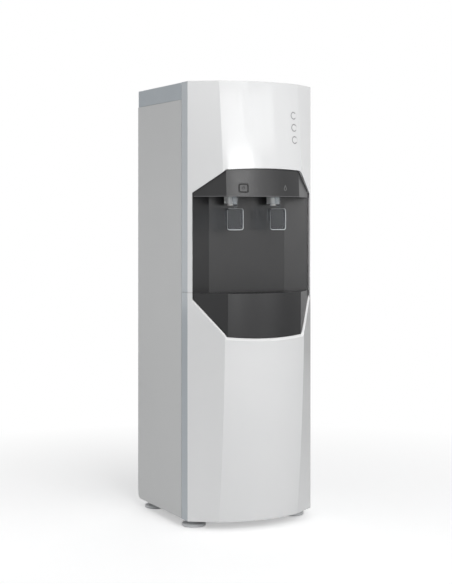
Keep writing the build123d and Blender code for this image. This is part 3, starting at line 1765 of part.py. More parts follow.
board_low = upper_shelf + shelf_sheet + 2 * post_radius
board_x = (skin_inner + jacket_size / 2) / 2
board_width = skin_inner - jacket_size / 2 - 2 * board_margin
relay_pitch = (board_width - 2 * board_edge) / 2

with BuildPart() as control_board:
    with BuildSketch(Plane.XY.offset(board_low)):
        with Locations((board_x, hot_y)):
            Rectangle(board_width, board_length)
    extrude(amount=board_thickness)
    with BuildSketch(Plane.XY.offset(board_low)):
        with Locations((board_x, hot_y)):
            with GridLocations(board_width - 2 * board_edge, board_length - 2 * board_edge, 2, 2):
                Circle(post_radius)
    extrude(amount=-2 * post_radius)
    with BuildSketch(Plane.XY.offset(board_low + board_thickness)):
        with Locations((board_x, hot_y - board_length / 4)):
            Rectangle(board_width - 4 * board_edge, transformer[0])
    extrude(amount=transformer[1])
    with BuildSketch(Plane.XY.offset(board_low + board_thickness)):
        with Locations((board_x, hot_y + board_length / 8)):
            with GridLocations(relay_pitch, relay[0] + 2 * board_edge, 2, 2):
                Rectangle(relay_pitch - board_edge, relay[0])
    extrude(amount=relay[1])
write_piece(control_board, "control_board")
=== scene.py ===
import math

import bmesh
import bpy
from mathutils import Matrix, Vector


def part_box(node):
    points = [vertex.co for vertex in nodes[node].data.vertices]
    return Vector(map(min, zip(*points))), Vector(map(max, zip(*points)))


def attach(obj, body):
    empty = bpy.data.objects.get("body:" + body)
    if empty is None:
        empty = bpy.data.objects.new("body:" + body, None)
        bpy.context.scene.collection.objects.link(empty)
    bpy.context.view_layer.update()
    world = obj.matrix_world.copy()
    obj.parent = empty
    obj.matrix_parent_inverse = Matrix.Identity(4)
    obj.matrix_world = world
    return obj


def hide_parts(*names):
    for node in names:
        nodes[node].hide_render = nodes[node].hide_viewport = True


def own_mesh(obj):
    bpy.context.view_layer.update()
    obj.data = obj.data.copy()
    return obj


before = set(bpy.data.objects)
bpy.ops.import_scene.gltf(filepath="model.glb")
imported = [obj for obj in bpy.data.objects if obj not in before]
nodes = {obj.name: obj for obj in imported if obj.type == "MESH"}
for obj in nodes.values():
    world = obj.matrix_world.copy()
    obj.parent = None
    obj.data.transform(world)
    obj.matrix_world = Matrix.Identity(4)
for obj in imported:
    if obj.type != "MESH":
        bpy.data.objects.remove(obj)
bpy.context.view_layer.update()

# Camera

CAMERA_PLACE = Vector((-1.5465, -3.087, 0.7696))
CAMERA_TURN = math.radians(26.5)
CAMERA_LENS = 82.1
SENSOR_WIDTH = 36
CAMERA_RISE = -0.1305


def set_camera():
    """Level camera at the photograph's angle, framed by a small vertical shift."""
    data = bpy.data.cameras.new("studio_camera")
    data.lens = CAMERA_LENS
    data.sensor_width = SENSOR_WIDTH
    data.shift_y = CAMERA_RISE
    camera = bpy.data.objects.new("studio_camera", data)
    camera.location = CAMERA_PLACE
    camera.rotation_euler = (math.radians(90), 0, -CAMERA_TURN)
    bpy.context.collection.objects.link(camera)
    bpy.context.scene.camera = camera


# Shader graphs written as expressions


class Signal:
    """An output socket in a shader graph, with operators that add Math nodes."""

    def __init__(self, graph, socket):
        self.graph = graph
        self.socket = socket

    def math(self, operation, *values):
        return self.graph.add("ShaderNodeMath", {"operation": operation}, dict(enumerate(values)))

    def __add__(self, other):
        return self.math("ADD", self, other)

    def __sub__(self, other):
        return self.math("SUBTRACT", self, other)

    def __rsub__(self, other):
        return self.math("SUBTRACT", other, self)

    def __mul__(self, other):
        return self.math("MULTIPLY", self, other)

    def __gt__(self, other):
        return self.math("GREATER_THAN", self, other)

    def __abs__(self):
        return self.math("ABSOLUTE", self)

    __radd__ = __add__
    __rmul__ = __mul__

    def clamped(self):
        return self.math("MINIMUM", self.math("MAXIMUM", self, 0.0), 1.0)


class Graph:
    """The node tree of a material or of the world."""

    def __init__(self, owner):
        owner.use_nodes = True
        self.owner = owner
        self.tree = owner.node_tree
        self.tree.nodes.clear()

    def node(self, kind, settings=None, inputs=None):
        """Add a node: settings first, then the values or links of its sockets."""
        node = self.tree.nodes.new(kind)
        for name, value in (settings or {}).items():
            setattr(node, name, value)
        for name, value in (inputs or {}).items():
            self.feed(node.inputs[name], value)
        return node

    def add(self, kind, settings=None, inputs=None, output=0):
        """Add a node and give one of its outputs."""
        return Signal(self, self.node(kind, settings, inputs).outputs[output])

    def feed(self, socket, value):
        """Link a signal to a socket, or set its plain value."""
        if isinstance(value, Signal):
            self.tree.links.new(value.socket, socket)
        elif socket.type == "RGBA" and len(value) == 3:
            socket.default_value = (*value, 1.0)
        else:
            socket.default_value = value

    def place(self, stretch=(1.0, 1.0, 1.0)):
        """Object coordinates in metres, in the cooler's own frame, stretched along each axis."""
        coordinates = self.add("ShaderNodeTexCoord", output="Object")
        if stretch == (1.0, 1.0, 1.0):
            return coordinates
        return self.add("ShaderNodeMapping", None, {"Vector": coordinates, "Scale": stretch})

    def split(self, vector):
        """The X, Y and Z of a vector as three signals."""
        node = self.node("ShaderNodeSeparateXYZ", None, {0: vector})
        return [Signal(self, socket) for socket in node.outputs]

    def noise(self, scale, detail=2.0, stretch=(1.0, 1.0, 1.0)):
        """Cloudy pattern from 0 to 1 with its features about 1/scale metres across."""
        inputs = {"Vector": self.place(stretch), "Scale": scale, "Detail": detail}
        return self.add("ShaderNodeTexNoise", None, inputs)

    def cells(self, scale, output="Distance"):
        """Cell pattern with its cells about 1/scale metres across."""
        return self.add("ShaderNodeTexVoronoi", None, {"Vector": self.place(), "Scale": scale}, output)

    def blend(self, factor, first, second):
        """Mix two colours by a factor."""
        inputs = {0: factor, 6: first, 7: second}
        return self.add("ShaderNodeMix", {"data_type": "RGBA"}, inputs, 2)

    def soft_edges(self, radius):
        """Surface normal rounded at the edges."""
        return self.add("ShaderNodeBevel", {"samples": 4}, {"Radius": radius})

    def bump(self, height, distance, normal):
        """Surface normal with a relief of a height signal, over a base normal."""
        inputs = {"Height": height, "Distance": distance, "Strength": 1.0, "Normal": normal}
        return self.add("ShaderNodeBump", None, inputs)

    def surface(self, colour, roughness, metallic=0.0, normal=None, **constants):
        """Close a material with one Principled shader and give the material."""
        inputs = {"Base Color": colour, "Roughness": roughness, "Metallic": metallic}
        if normal:
            inputs["Normal"] = normal
        inputs.update({name.replace("_", " "): value for name, value in constants.items()})
        self.show(self.add("ShaderNodeBsdfPrincipled", None, inputs))
        return self.owner

    def show(self, shader):
        self.node("ShaderNodeOutputMaterial", None, {"Surface": shader})


def finish_graph(name):
    """Graph of a new material."""
    return Graph(bpy.data.materials.new(name))


# Finishes

# Bounds of the painted shade on the side returns and of the painted highlight round the bay
PANEL_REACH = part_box("lower_front_panel")[1].x - 0.001
RETURN_FACING = 0.9
RIM_RISE = 0.3
RIM_TURN = 0.02


def gloss_white():
    """Polished white plastic: faint clouds, a soft ripple, painted shade on the side returns and a
    painted highlight round the bay.

    The painted highlight is on what looks upwards, or back towards the middle of the cooler.
    """
    graph = finish_graph("gloss_white_plastic")
    white = graph.blend(graph.noise(5.0, 3.0), (0.765, 0.77, 0.775), (0.80, 0.80, 0.80))
    across, _, _ = graph.split(graph.place())
    facing, _, upward = graph.split(graph.add("ShaderNodeNewGeometry", output="Normal"))
    # Painted shade: the sideways-facing returns of the white moulding are coloured bluish grey
    return_shade_mask = (abs(across) > PANEL_REACH) * (abs(facing) > RETURN_FACING)
    # Painted highlight: faces that look upwards or back towards the middle, chiefly the bevel round the
    # bay, are coloured near white
    rim_highlight_mask = ((upward > RIM_RISE) + (0.0 - facing * across > RIM_TURN)).clamped()
    colour = graph.blend(rim_highlight_mask, graph.blend(return_shade_mask, white, (0.60, 0.65, 0.69)), (0.95, 0.95, 0.95))
    roughness = graph.noise(60.0, 4.0) * 0.05 + 0.12
    normal = graph.bump(graph.noise(34.0, 1.0), 0.00005, graph.soft_edges(0.0014))
    return graph.surface(colour, roughness, 0.0, normal, Coat_Weight=0.3, Coat_Roughness=0.05)


def orange_peel_paint(name, dark, light, roughness, grain):
    """Powder-coated steel: two near greys and a fine orange-peel relief."""
    graph = finish_graph(name)
    peel = graph.noise(grain, 3.0)
    colour = graph.blend(graph.noise(4.0, 3.0), dark, light)
    shine = graph.noise(25.0, 4.0) * 0.08 + roughness
    normal = graph.bump(peel, 0.00006, graph.soft_edges(0.0006))
    return graph.surface(colour, shine, 0.0, normal)


def grained_plastic(name, dark, light, roughness, grain=900.0, relief=0.00005):
    """Moulded plastic with a fine pitted grain and slightly uneven shade."""
    graph = finish_graph(name)
    pits = graph.cells(grain)
    colour = graph.blend(graph.noise(9.0, 4.0), dark, light)
    shine = graph.noise(45.0, 4.0) * 0.1 + roughness
    normal = graph.bump(pits, relief, graph.soft_edges(0.0007))
    return graph.surface(colour, shine, 0.0, normal)


def tinted_clear(name, colour, roughness, tint, clearness, bending):
    """Transparent plastic with a few moulding ripples."""
    graph = finish_graph(name)
    shade = graph.blend(graph.noise(30.0, 2.0), colour, tint)
    shine = graph.noise(80.0, 3.0) * 0.04 + roughness
    normal = graph.bump(graph.noise(70.0, 1.0), 0.00008, graph.soft_edges(0.0009))
    return graph.surface(shade, shine, 0.0, normal, Transmission_Weight=clearness, IOR=bending)


def natural_fitting():
    """Off-white nylon, a little translucent."""
    graph = finish_graph("natural_fitting_plastic")
    colour = graph.blend(graph.noise(20.0, 3.0), (0.70, 0.70, 0.67), (0.80, 0.80, 0.77))
    roughness = graph.noise(90.0, 3.0) * 0.1 + 0.34
    normal = graph.bump(graph.noise(400.0, 2.0), 0.00003, graph.soft_edges(0.0005))
    return graph.surface(colour, roughness, 0.0, normal, Subsurface_Weight=0.08, Subsurface_Scale=0.004)


def milky_silicone():
    """Cloudy silicone hose."""
    graph = finish_graph("milky_silicone")
    colour = graph.blend(graph.noise(50.0, 3.0), (0.62, 0.63, 0.62), (0.78, 0.79, 0.77))
    normal = graph.bump(graph.noise(220.0, 2.0), 0.00004, graph.soft_edges(0.0004))
    return graph.surface(colour, graph.noise(60.0) * 0.1 + 0.42, 0.0, normal, Transmission_Weight=0.25)


def bright_steel():
    """Drawn stainless wire and screws with fine lengthwise lines."""
    graph = finish_graph("bright_steel")
    lines = graph.noise(900.0, 2.0, (1.0, 0.04, 1.0))
    colour = graph.blend(graph.noise(120.0, 3.0), (0.50, 0.50, 0.49), (0.66, 0.66, 0.65))
    normal = graph.bump(lines, 0.00003, graph.soft_edges(0.0003))
    return graph.surface(colour, lines * 0.15 + 0.2, 1.0, normal)


def spun_stainless():
    """Deep-drawn stainless tank: rings of brushing round the tank."""
    graph = finish_graph("spun_stainless")
    rings = graph.noise(700.0, 3.0, (0.02, 0.02, 1.0))
    colour = graph.blend(graph.noise(14.0, 3.0), (0.48, 0.48, 0.475), (0.62, 0.62, 0.61))
    normal = graph.bump(rings, 0.00004, graph.soft_edges(0.0008))
    return graph.surface(colour, rings * 0.2 + 0.18, 1.0, normal)


def zinc_sheet():
    """Zinc-coated sheet steel with its faint crystal spangle."""
    graph = finish_graph("zinc_coated_sheet")
    shade = graph.split(graph.cells(70.0, "Color"))[0]
    fine = graph.noise(160.0, 4.0)
    colour = graph.blend(shade * 0.6 + fine * 0.4, (0.49, 0.50, 0.51), (0.57, 0.58, 0.59))
    roughness = shade * 0.14 + 0.34
    normal = graph.bump(fine, 0.00002, graph.soft_edges(0.0005))
    return graph.surface(colour, roughness, 0.85, normal)


def drawn_copper():
    """Copper tube, brighter where it was handled and browner elsewhere."""
    graph = finish_graph("drawn_copper")
    patina = graph.noise(28.0, 5.0)
    colour = graph.blend(patina, (0.36, 0.15, 0.075), (0.80, 0.38, 0.22))
    normal = graph.bump(graph.noise(500.0, 2.0), 0.00002, graph.soft_edges(0.0003))
    return graph.surface(colour, patina * 0.25 + 0.18, 1.0, normal)


def black_enamel():
    """Black stoved enamel on the compressor and condenser, with thin dust on top."""
    graph = finish_graph("black_enamel")
    upward = graph.split(graph.add("ShaderNodeNewGeometry", output="Normal"))[2]
    dust = (graph.noise(60.0, 5.0) - 0.35).clamped() * (upward * 0.6 + 0.4).clamped()
    colour = graph.blend(dust, (0.012, 0.012, 0.013), (0.11, 0.108, 0.10))
    normal = graph.bump(graph.noise(320.0, 2.0), 0.00006, graph.soft_edges(0.0006))
    return graph.surface(colour, dust * 0.5 + 0.24, 0.0, normal, Coat_Weight=0.4, Coat_Roughness=0.12)


def foam_beads():
    """White bead foam, with the joints between its beads sunk in."""
    graph = finish_graph("foam_beads")
    beads = graph.cells(260.0)
    colour = graph.blend(beads, (0.82, 0.82, 0.80), (0.62, 0.62, 0.60))
    normal = graph.bump(1.0 - beads, 0.0006, graph.soft_edges(0.001))
    return graph.surface(colour, beads * 0.1 + 0.72, 0.0, normal)


def circuit_green():
    """Solder-masked board: darker copper lanes under the green."""
    graph = finish_graph("circuit_green")
    along, _, up = graph.split(graph.place())
    lanes = graph.noise(180.0, 0.0, (1.0, 1.0, 0.1)) > 0.52
    speckle = graph.noise(700.0, 2.0)
    drift = abs(along + up) * 0.2
    colour = graph.blend(lanes * 0.7 + speckle * 0.2 + drift, (0.012, 0.10, 0.035), (0.03, 0.20, 0.075))
    normal = graph.bump(lanes, 0.00004, graph.soft_edges(0.0004))
    return graph.surface(colour, speckle * 0.1 + 0.24, 0.0, normal)


def rocker_gloss(name, dark, light):
    """Glossy coloured rocker with uneven wear in its shade and gloss."""
    graph = finish_graph(name)
    wear = graph.noise(140.0, 5.0)
    colour = graph.blend(wear, dark, light)
    return graph.surface(colour, wear * 0.2 + 0.16, 0.0, graph.soft_edges(0.0006))


def mark_finish(name, colour):
    """Matt colour of a thin mark, a little uneven: print, and the painted shade and painted highlights
    of other marks.
    """
    graph = finish_graph(name)
    shade = graph.blend(graph.noise(300.0, 3.0), tuple(0.88 * part for part in colour), colour)
    shine = graph.noise(200.0) * 0.1 + 0.4
    return graph.surface(shade, shine, 0.0, graph.soft_edges(0.0002), Specular_IOR_Level=0.2)


FINISHES = (
    (gloss_white(), ("upper_front_panel", "lower_front_panel", "indicator_lenses")),
    (
        orange_peel_paint("painted_steel", (0.74, 0.745, 0.745), (0.79, 0.795, 0.79), 0.36, 420.0),
        ("left_side_panel", "right_side_panel"),
    ),
    (grained_plastic("cover_grey", (0.58, 0.63, 0.67), (0.62, 0.67, 0.71), 0.45), ("top_cover",)),
    (zinc_sheet(), ("rear_panel", "base_plate", "upper_shelf", "lower_shelf")),
    (
        grained_plastic(
            "charcoal_satin", (0.016, 0.016, 0.017), (0.022, 0.022, 0.023), 0.27, 1400.0, 0.00002
        ),
        ("hood_fascia", "bay_housing", "drip_tray", "drip_grille", "lock_button"),
    ),
    (
        tinted_clear("frosted_clear", (0.90, 0.92, 0.93), 0.1, (0.96, 0.97, 0.97), 0.4, 1.49),
        ("hot_tap_body", "cold_tap_body"),
    ),
    (
        tinted_clear("smoky_clear", (0.70, 0.73, 0.76), 0.04, (0.77, 0.80, 0.83), 1.0, 1.18),
        ("hot_lever", "cold_lever"),
    ),
    (
        natural_fitting(),
        (
            "tap_spouts",
            "hot_valve_stem",
            "cold_valve_stem",
            "float_valve",
            "float_arm",
            "cold_tank_lid",
            "filter_cartridges",
            "filter_head_rail",
            "inlet_valve",
            "water_inlet",
            "drain_outlets",
            "water_tubes",
        ),
    ),
    (milky_silicone(), ("tap_hoses",)),
    (bright_steel(), ("hot_valve_spring", "cold_valve_spring", "lever_pins", "panel_screws")),
    (circuit_green(), ("indicator_board", "lock_switch", "control_board")),
    (
        grained_plastic("foot_grey", (0.70, 0.71, 0.72), (0.77, 0.78, 0.79), 0.42),
        ("front_left_foot", "front_right_foot", "rear_left_foot", "rear_right_foot"),
    ),
    (black_enamel(), ("compressor", "condenser_coil", "condenser_wires", "condenser_brackets")),
    (
        grained_plastic("grommet_rubber", (0.018, 0.018, 0.018), (0.035, 0.035, 0.034), 0.68),
        ("compressor_grommets",),
    ),
    (drawn_copper(), ("refrigerant_lines", "evaporator_coil")),
    (spun_stainless(), ("cold_tank", "hot_tank", "heater")),
    (
        grained_plastic("electrical_black", (0.016, 0.016, 0.017), (0.028, 0.028, 0.03), 0.36),
        ("thermostats", "mains_inlet", "switch_housings"),
    ),
    (foam_beads(), ("cold_tank_insulation", "hot_tank_insulation")),
    (rocker_gloss("red_rocker", (0.38, 0.018, 0.012), (0.55, 0.03, 0.02)), ("hot_switch",)),
    (rocker_gloss("green_rocker", (0.015, 0.20, 0.05), (0.03, 0.34, 0.08)), ("cold_switch",)),
)


def dress_nodes():
    """Give every CAD node its finish."""
    for material, members in FINISHES:
        for member in members:
            mesh = nodes[member].data
            mesh.materials.clear()
            mesh.materials.append(material)


# Thin marks laid on the moulded surfaces

REACH = 2.0
MARK_LIFT = 0.00015


def flat_outline(width, height, corner):
    """Rounded rectangle in the XZ plane, centred on the origin."""
    mesh = bmesh.new()
    bmesh.ops.create_grid(mesh, x_segments=1, y_segments=1, size=0.5)
    bmesh.ops.scale(mesh, verts=mesh.verts, vec=(width, height, 1.0))
    bmesh.ops.rotate(mesh, verts=mesh.verts, matrix=Matrix.Rotation(math.radians(90), 3, "X"))
    bmesh.ops.bevel(
        mesh,
        geom=mesh.verts[:],
        offset=corner,
        offset_type="OFFSET",
        segments=6,
        profile=0.5,
        affect="VERTICES",
        material=-1,
    )
    return mesh


def hollow(mesh, width, shift=0.0):
    """Keep only the border of a flat outline, wider at the lower right by a shift of its inner edge."""
    border = bmesh.ops.inset_region(
        mesh, faces=mesh.faces[:], thickness=width, use_boundary=True, use_even_offset=True
    )["faces"]
    inside = [face for face in mesh.faces if face not in border]
    inner = list({vertex for face in inside for vertex in face.verts})
    bmesh.ops.translate(mesh, verts=inner, vec=(-shift, 0, shift))
    bmesh.ops.delete(mesh, geom=inside, context="FACES")


def thicken(mesh, lift):
    """Give flat faces a small thickness along Y."""
    made = bmesh.ops.extrude_face_region(mesh, geom=mesh.faces[:], use_keep_orig=True)["geom"]
    raised = [item for item in made if isinstance(item, bmesh.types.BMVert)]
    bmesh.ops.translate(mesh, verts=raised, vec=(0, lift, 0))


def band(mesh, centre, radius, width, lift, start=0.0, sweep=2 * math.pi, steps=48):
    """Add a flat ring, or an arc of one, spun about Y round its centre."""
    corners = bmesh.ops.create_grid(mesh, x_segments=1, y_segments=1, size=0.5)["verts"]
    bmesh.ops.scale(mesh, verts=corners, vec=(width, lift, 1.0))
    bmesh.ops.translate(mesh, verts=corners, vec=(radius, lift / 2, 0))
    bmesh.ops.rotate(mesh, verts=corners, matrix=Matrix.Rotation(start, 3, "Y"))
    bmesh.ops.translate(mesh, verts=corners, vec=centre)
    section = corners[0].link_faces[0]
    closed = sweep >= 2 * math.pi
    moved = corners + list(section.edges) + ([] if closed else [section])
    bmesh.ops.spin(
        mesh, geom=moved, cent=centre, axis=(0, 1, 0), angle=sweep, steps=steps, use_merge=closed
    )
    if closed:
        bmesh.ops.delete(mesh, geom=[section], context="FACES_ONLY")
    else:
        bmesh.ops.holes_fill(mesh, edges=[edge for edge in mesh.edges if edge.is_boundary], sides=4)


def drape(mesh, carrier, facing):
    """Lay a mark on a node: each vertex moves along Y to the surface and keeps its own lift."""
    for vertex in mesh.verts:
        start = Vector((vertex.co.x, facing * REACH, vertex.co.z))
        found, hit, _, _ = nodes[carrier].ray_cast(start, Vector((0, -facing, 0)))
        if found:
            vertex.co.y += hit.y


def mark(name, mesh, material, body):
    """Turn a finished bmesh into a piece that rides on a body, and give the piece."""
    bmesh.ops.recalc_face_normals(mesh, faces=mesh.faces)
    data = bpy.data.meshes.new(name)
    mesh.to_mesh(data)
    mesh.free()
    data.materials.append(material)
    piece = bpy.data.objects.new(name, data)
    bpy.context.collection.objects.link(piece)
    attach(piece, body)
    return piece


LENS_LOW, LENS_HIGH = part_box("indicator_lenses")
LENS_RADIUS = (LENS_HIGH.x - LENS_LOW.x) / 2
LENS_X = (LENS_LOW.x + LENS_HIGH.x) / 2
LENS_TOP = LENS_HIGH.z - LENS_RADIUS
LENS_STEP = (LENS_HIGH.z - LENS_LOW.z - 2 * LENS_RADIUS) / 2
RING_WIDTH = 0.0022
RING_INSET = 0.0002
# The painted shade is left open on the right, the lit side of each lens's recess
RING_OPENING = math.radians(80)


def lens_shade_rings(material):
    """Thin grey arcs of painted shade on the rims of the three lenses, open towards the right, where
    the light falls.
    """
    radius = LENS_RADIUS - RING_WIDTH / 2 - RING_INSET
    sweep = 2 * math.pi - RING_OPENING
    for index in range(3):
        ring = bmesh.new()
        centre = Vector((LENS_X, 0, LENS_TOP - index * LENS_STEP))
        band(ring, centre, radius, RING_WIDTH, -MARK_LIFT, RING_OPENING / 2, sweep)
        drape(ring, "indicator_lenses", -1)
        mark(f"lens_shade_ring_{index + 1}", ring, material, "cabinet")


BUTTON_LOW, BUTTON_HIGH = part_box("lock_button")
BUTTON_CENTRE = Vector(((BUTTON_LOW.x + BUTTON_HIGH.x) / 2, 0, (BUTTON_LOW.z + BUTTON_HIGH.z) / 2))
BUTTON_BORDER = 0.0024
BUTTON_MARGIN = 0.005
BUTTON_CORNER = 0.0045
LOCK_WIDTH = 0.0066
LOCK_HEIGHT = 0.005
LOCK_CORNER = LOCK_HEIGHT / 6
LOCK_LINE = LOCK_HEIGHT / 5
SHACKLE_RADIUS = 0.0021


def lock_mark(material):
    """Dark border and a small plain padlock on the lock button."""
    width = BUTTON_HIGH.x - BUTTON_LOW.x - BUTTON_MARGIN
    height = BUTTON_HIGH.z - BUTTON_LOW.z - BUTTON_MARGIN
    border = flat_outline(width, height, BUTTON_CORNER)
    hollow(border, BUTTON_BORDER)
    lock = flat_outline(LOCK_WIDTH, LOCK_HEIGHT, LOCK_CORNER)
    hollow(lock, LOCK_LINE)
    for name, mesh in (("lock_button_border", border), ("lock_mark_body", lock)):
        thicken(mesh, -MARK_LIFT)
        bmesh.ops.translate(mesh, verts=mesh.verts, vec=BUTTON_CENTRE)
        drape(mesh, "lock_button", -1)
        mark(name, mesh, material, "lock_button")
    shackle = bmesh.new()
    above = BUTTON_CENTRE + Vector((0, 0, LOCK_HEIGHT / 2))
    band(shackle, above, SHACKLE_RADIUS, LOCK_LINE, -MARK_LIFT, math.pi, math.pi, 16)
    drape(shackle, "lock_button", -1)
    mark("lock_mark_shackle", shackle, material, "lock_button")


DROP_PLACE = Vector((0.0545, 0, 0.8360))
DROP_RADIUS = 0.0043
DROP_POINT = 2.2
DROP_PINCH = 0.4
DROP_LINE = 0.0016


def drop_mark(material):
    """Outline of a water drop printed on the hood above the cold tap."""
    drop = bmesh.new()
    bmesh.ops.create_circle(drop, cap_ends=True, radius=DROP_RADIUS, segments=40)
    bmesh.ops.rotate(drop, verts=drop.verts, matrix=Matrix.Rotation(math.radians(90), 3, "X"))
    for vertex in drop.verts:
        rise = max(vertex.co.z, 0.0) / DROP_RADIUS
        vertex.co.z *= 1 + (DROP_POINT - 1) * rise**2
        vertex.co.x *= 1 - DROP_PINCH * rise**2
    hollow(drop, DROP_LINE)
    thicken(drop, -MARK_LIFT)
    bmesh.ops.translate(drop, verts=drop.verts, vec=DROP_PLACE)
    drape(drop, "hood_fascia", -1)
    mark("water_drop_mark", drop, material, "cabinet")


PADDLE_HEIGHT = 0.054
PADDLE_CORNER = 0.0065
PADDLE_MARGIN = 0.0006
PADDLE_LINE = 0.0008
# The painted highlight is wider at the lower right, the side that catches the light
PADDLE_SHIFT = 0.0005


def paddle_highlights(material):
    """Painted highlight round the face of each clear paddle, where its edges catch the light."""
    for lever in ("hot_lever", "cold_lever"):
        low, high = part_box(lever)
        width = high.x - low.x - PADDLE_MARGIN
        edge = flat_outline(width, PADDLE_HEIGHT - PADDLE_MARGIN, PADDLE_CORNER)
        hollow(edge, PADDLE_LINE, PADDLE_SHIFT)
        thicken(edge, -MARK_LIFT)
        centre = Vector(((low.x + high.x) / 2, 0, low.z + PADDLE_HEIGHT / 2))
        bmesh.ops.translate(edge, verts=edge.verts, vec=centre)
        drape(edge, lever, -1)
        mark(f"{lever}_edge", edge, material, lever)


EDGE_HEIGHT = 0.0013
EDGE_LIFT = 0.0003
EDGE_MARGIN = 0.0035
EDGE_STEPS = 96


def hood_edge(material):
    """Thin lighter grey strip along the lower edge of the hood: a painted highlight where its rounded
    lip catches the light.
    """
    low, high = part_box("hood_fascia")
    reach = high.x - EDGE_MARGIN
    bead = bmesh.new()
    bmesh.ops.create_grid(bead, x_segments=EDGE_STEPS, y_segments=1, size=0.5)
    bmesh.ops.scale(bead, verts=bead.verts, vec=(2 * reach, EDGE_HEIGHT, 1.0))
    bmesh.ops.rotate(bead, verts=bead.verts, matrix=Matrix.Rotation(math.radians(90), 3, "X"))
    thicken(bead, -EDGE_LIFT)
    bmesh.ops.translate(bead, verts=bead.verts, vec=(0, 0, low.z + EDGE_HEIGHT))
    drape(bead, "hood_fascia", -1)
    mark("hood_edge_highlight", bead, material, "cabinet")


ROCKER_MARK = 0.0034
ROCKER_LINE = 0.0008
ROCKER_OFFSET = 1.4 * ROCKER_MARK


def rocker_marks(material):
    """The usual line and ring on the two ends of each rocker."""
    for side, slot in (("hot", "red_rocker"), ("cold", "green_rocker")):
        switch = f"{side}_switch"
        low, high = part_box(switch)
        middle = Vector(((low.x + high.x) / 2, 0, (low.z + high.z) / 2))
        offset = Vector((0, 0, ROCKER_OFFSET))
        line = flat_outline(ROCKER_LINE, ROCKER_MARK, ROCKER_LINE / 3)
        thicken(line, MARK_LIFT)
        bmesh.ops.translate(line, verts=line.verts, vec=middle + offset)
        ring = bmesh.new()
        band(ring, middle - offset, ROCKER_MARK / 2, ROCKER_LINE, MARK_LIFT, steps=24)
        for name, mesh in ((f"{switch}_line", line), (f"{switch}_ring", ring)):
            drape(mesh, switch, 1)
            mark(name, mesh, material, switch)


SCREW_RADIUS = 0.0035
SCREW_ROWS = 5
SLOT_LENGTH = 0.0042
SLOT_WIDTH = 0.0009
SLOT_TURN = 0.4
SLOT_STEP = 0.9


def painted_screw_shade(material):
    """Near-black cross on the head of each rear screw: painted shade of its cross recess."""
    low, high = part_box("panel_screws")
    step = (high.z - low.z - 2 * SCREW_RADIUS) / (SCREW_ROWS - 1)
    for column, x in (("right", high.x - SCREW_RADIUS), ("left", low.x + SCREW_RADIUS)):
        for row in range(SCREW_ROWS):
            centre = Vector((x, 0, low.z + SCREW_RADIUS + row * step))
            turn = SLOT_TURN + SLOT_STEP * row + x
            cross = bmesh.new()
            for angle in (turn, turn + math.pi / 2):
                bar = bmesh.ops.create_cube(cross, size=1.0)["verts"]
                bmesh.ops.scale(cross, verts=bar, vec=(SLOT_LENGTH, MARK_LIFT, SLOT_WIDTH))
                bmesh.ops.rotate(cross, verts=bar, matrix=Matrix.Rotation(angle, 3, "Y"))
                bmesh.ops.translate(cross, verts=bar, vec=centre)
            drape(cross, "panel_screws", 1)
            mark(f"screw_recess_shade_{column}_{row + 1}", cross, material, "cabinet")


# Springs

MERGE_REACH = 1e-6


def valve_springs():
    """Merged copies of the valve springs, riding on the cabinet, in place of the stiff ones, which are
    hidden.
    """
    for side in ("hot", "cold"):
        node = f"{side}_valve_spring"
        coil = bmesh.new()
        coil.from_mesh(nodes[node].data)
        bmesh.ops.remove_doubles(coil, verts=coil.verts, dist=MERGE_REACH)
        steel = nodes[node].data.materials[0]
        piece = mark(f"{side}_spring_coil", coil, steel, "cabinet")
        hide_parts(node)
        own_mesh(piece)


# Studio

FLOOR_SIZE = 14.0
FLOOR_NEAR = 0.45
FLOOR_FAR = 1.5
WHITE = (1.0, 1.0, 1.0)
FLOOR_PAINT = (0.86, 0.86, 0.86)
FLOOR_LIFT = 0.42


def white_floor():
    """Pale floor: white to the camera, with the cooler's soft shadow kept near its feet."""
    graph = finish_graph("studio_floor")
    radius = graph.add(
        "ShaderNodeVectorMath", {"operation": "LENGTH"}, {0: graph.place((1.0, 1.0, 0.0))}, "Value"
    )
    away = ((radius - FLOOR_NEAR) * (1 / (FLOOR_FAR - FLOOR_NEAR))).clamped()
    paint = graph.add("ShaderNodeBsdfDiffuse", None, {"Color": FLOOR_PAINT})
    lift = graph.add("ShaderNodeEmission", None, {"Color": WHITE, "Strength": FLOOR_LIFT})
    lifted = graph.add("ShaderNodeAddShader", None, {0: paint, 1: lift})
    plain = graph.add("ShaderNodeEmission", None, {"Color": WHITE, "Strength": 1.0})
    seen = graph.add("ShaderNodeMixShader", None, {0: away, 1: lifted, 2: plain})
    direct = graph.add("ShaderNodeLightPath", output="Is Camera Ray")
    graph.show(graph.add("ShaderNodeMixShader", None, {0: direct, 1: paint, 2: seen}))
    mesh = bmesh.new()
    bmesh.ops.create_grid(mesh, x_segments=1, y_segments=1, size=FLOOR_SIZE / 2)
    data = bpy.data.meshes.new("studio_floor")
    mesh.to_mesh(data)
    mesh.free()
    data.materials.append(graph.owner)
    floor = bpy.data.objects.new("studio_floor", data)
    bpy.context.collection.objects.link(floor)


FILL = 0.29
FILL_TINT = (0.98, 0.99, 1.0)


def studio_world():
    """White to the camera, to gloss and through clear plastic; a softer fill on everything else."""
    world = bpy.data.worlds.new("studio_world")
    bpy.context.scene.world = world
    graph = Graph(world)
    path = graph.node("ShaderNodeLightPath")
    seen = Signal(graph, path.outputs["Is Camera Ray"])
    gloss = Signal(graph, path.outputs["Is Glossy Ray"])
    clear = Signal(graph, path.outputs["Is Transmission Ray"])
    shown = (seen + gloss + clear).clamped()
    soft = graph.add("ShaderNodeBackground", None, {"Color": FILL_TINT, "Strength": FILL})
    white = graph.add("ShaderNodeBackground", None, {"Color": WHITE, "Strength": 1.0})
    mixed = graph.add("ShaderNodeMixShader", None, {0: shown, 1: soft, 2: white})
    graph.node("ShaderNodeOutputWorld", None, {"Surface": mixed})


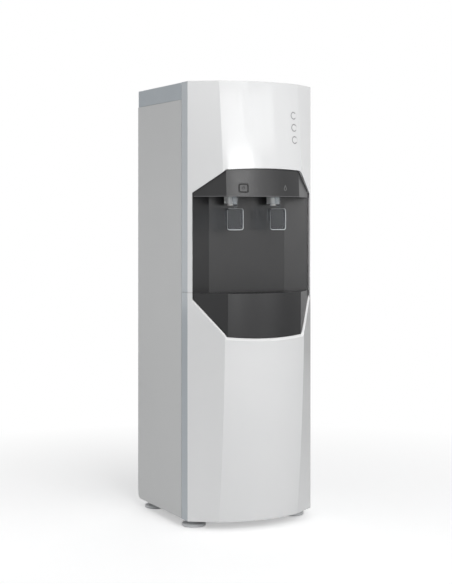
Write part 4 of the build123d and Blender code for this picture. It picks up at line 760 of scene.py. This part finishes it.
def softbox(name, place, target, size, power):
    """Rectangular lamp that faces a target."""
    data = bpy.data.lights.new(name, "AREA")
    data.shape = "RECTANGLE"
    data.size, data.size_y = size
    data.energy = power
    lamp = bpy.data.objects.new(name, data)
    lamp.location = place
    lamp.rotation_euler = (Vector(target) - Vector(place)).to_track_quat("-Z", "Y").to_euler()
    bpy.context.collection.objects.link(lamp)


PANEL_AIM = (0.0, -0.2, 0.95)
BAY_AIM = (0.0, -0.2, 0.7)


def light_studio():
    """Softboxes that the front mirrors, low ones for the bay, high ones for light, and a soft fill.

    The hood mirrors the first, the upper panel the next three from left to right, and the bay
    and the tray the two low ones.
    """
    softbox("hood_strip", (-0.15, -3.18, 1.33), PANEL_AIM, (1.5, 0.5), 14.0)
    softbox("panel_strip", (-0.5, -3.14, 1.82), PANEL_AIM, (1.28, 0.48), 5.2)
    softbox("front_middle", (0.62, -3.13, 1.65), PANEL_AIM, (1.06, 0.77), 4.6)
    softbox("front_right", (1.55, -2.77, 1.8), PANEL_AIM, (0.95, 0.46), 2.2)
    softbox("bay_left", (-0.67, -3.12, 0.65), BAY_AIM, (0.9, 0.6), 4.0)
    softbox("bay_right", (1.36, -2.87, 0.8), BAY_AIM, (1.2, 0.8), 4.6)
    softbox("high_front", (-0.45, -3.1, 2.8), (0.0, -0.15, 0.9), (2.2, 1.2), 26.0)
    softbox("near_front", (-0.1, -1.9, 2.35), (0.0, -0.15, 0.8), (1.2, 0.8), 6.5)
    softbox("left_low", (-1.1, 0.1, 0.4), (-0.17, 0.05, 0.4), (0.6, 0.6), 1.1)
    softbox("rear_soft", (1.6, 2.8, 1.5), (0.0, 0.2, 0.6), (1.6, 1.2), 14.0)
    studio_world()
    bpy.context.scene.view_settings.view_transform = "Standard"


set_camera()
dress_nodes()
# Black ink for the lock mark, and painted shade for the screw recesses
ink_and_shade_black = mark_finish("ink_and_shade_black", (0.008, 0.008, 0.008))
lens_shade_rings(mark_finish("lens_shade_grey", (0.36, 0.36, 0.37)))
lock_mark(ink_and_shade_black)
drop_mark(mark_finish("print_grey", (0.20, 0.20, 0.20)))
hood_edge(mark_finish("hood_highlight_grey", (0.16, 0.16, 0.165)))
paddle_highlights(mark_finish("paddle_highlight_white", (0.80, 0.83, 0.85)))
valve_springs()
rocker_marks(mark_finish("white_print", (0.75, 0.75, 0.75)))
painted_screw_shade(ink_and_shade_black)
white_floor()
light_studio()
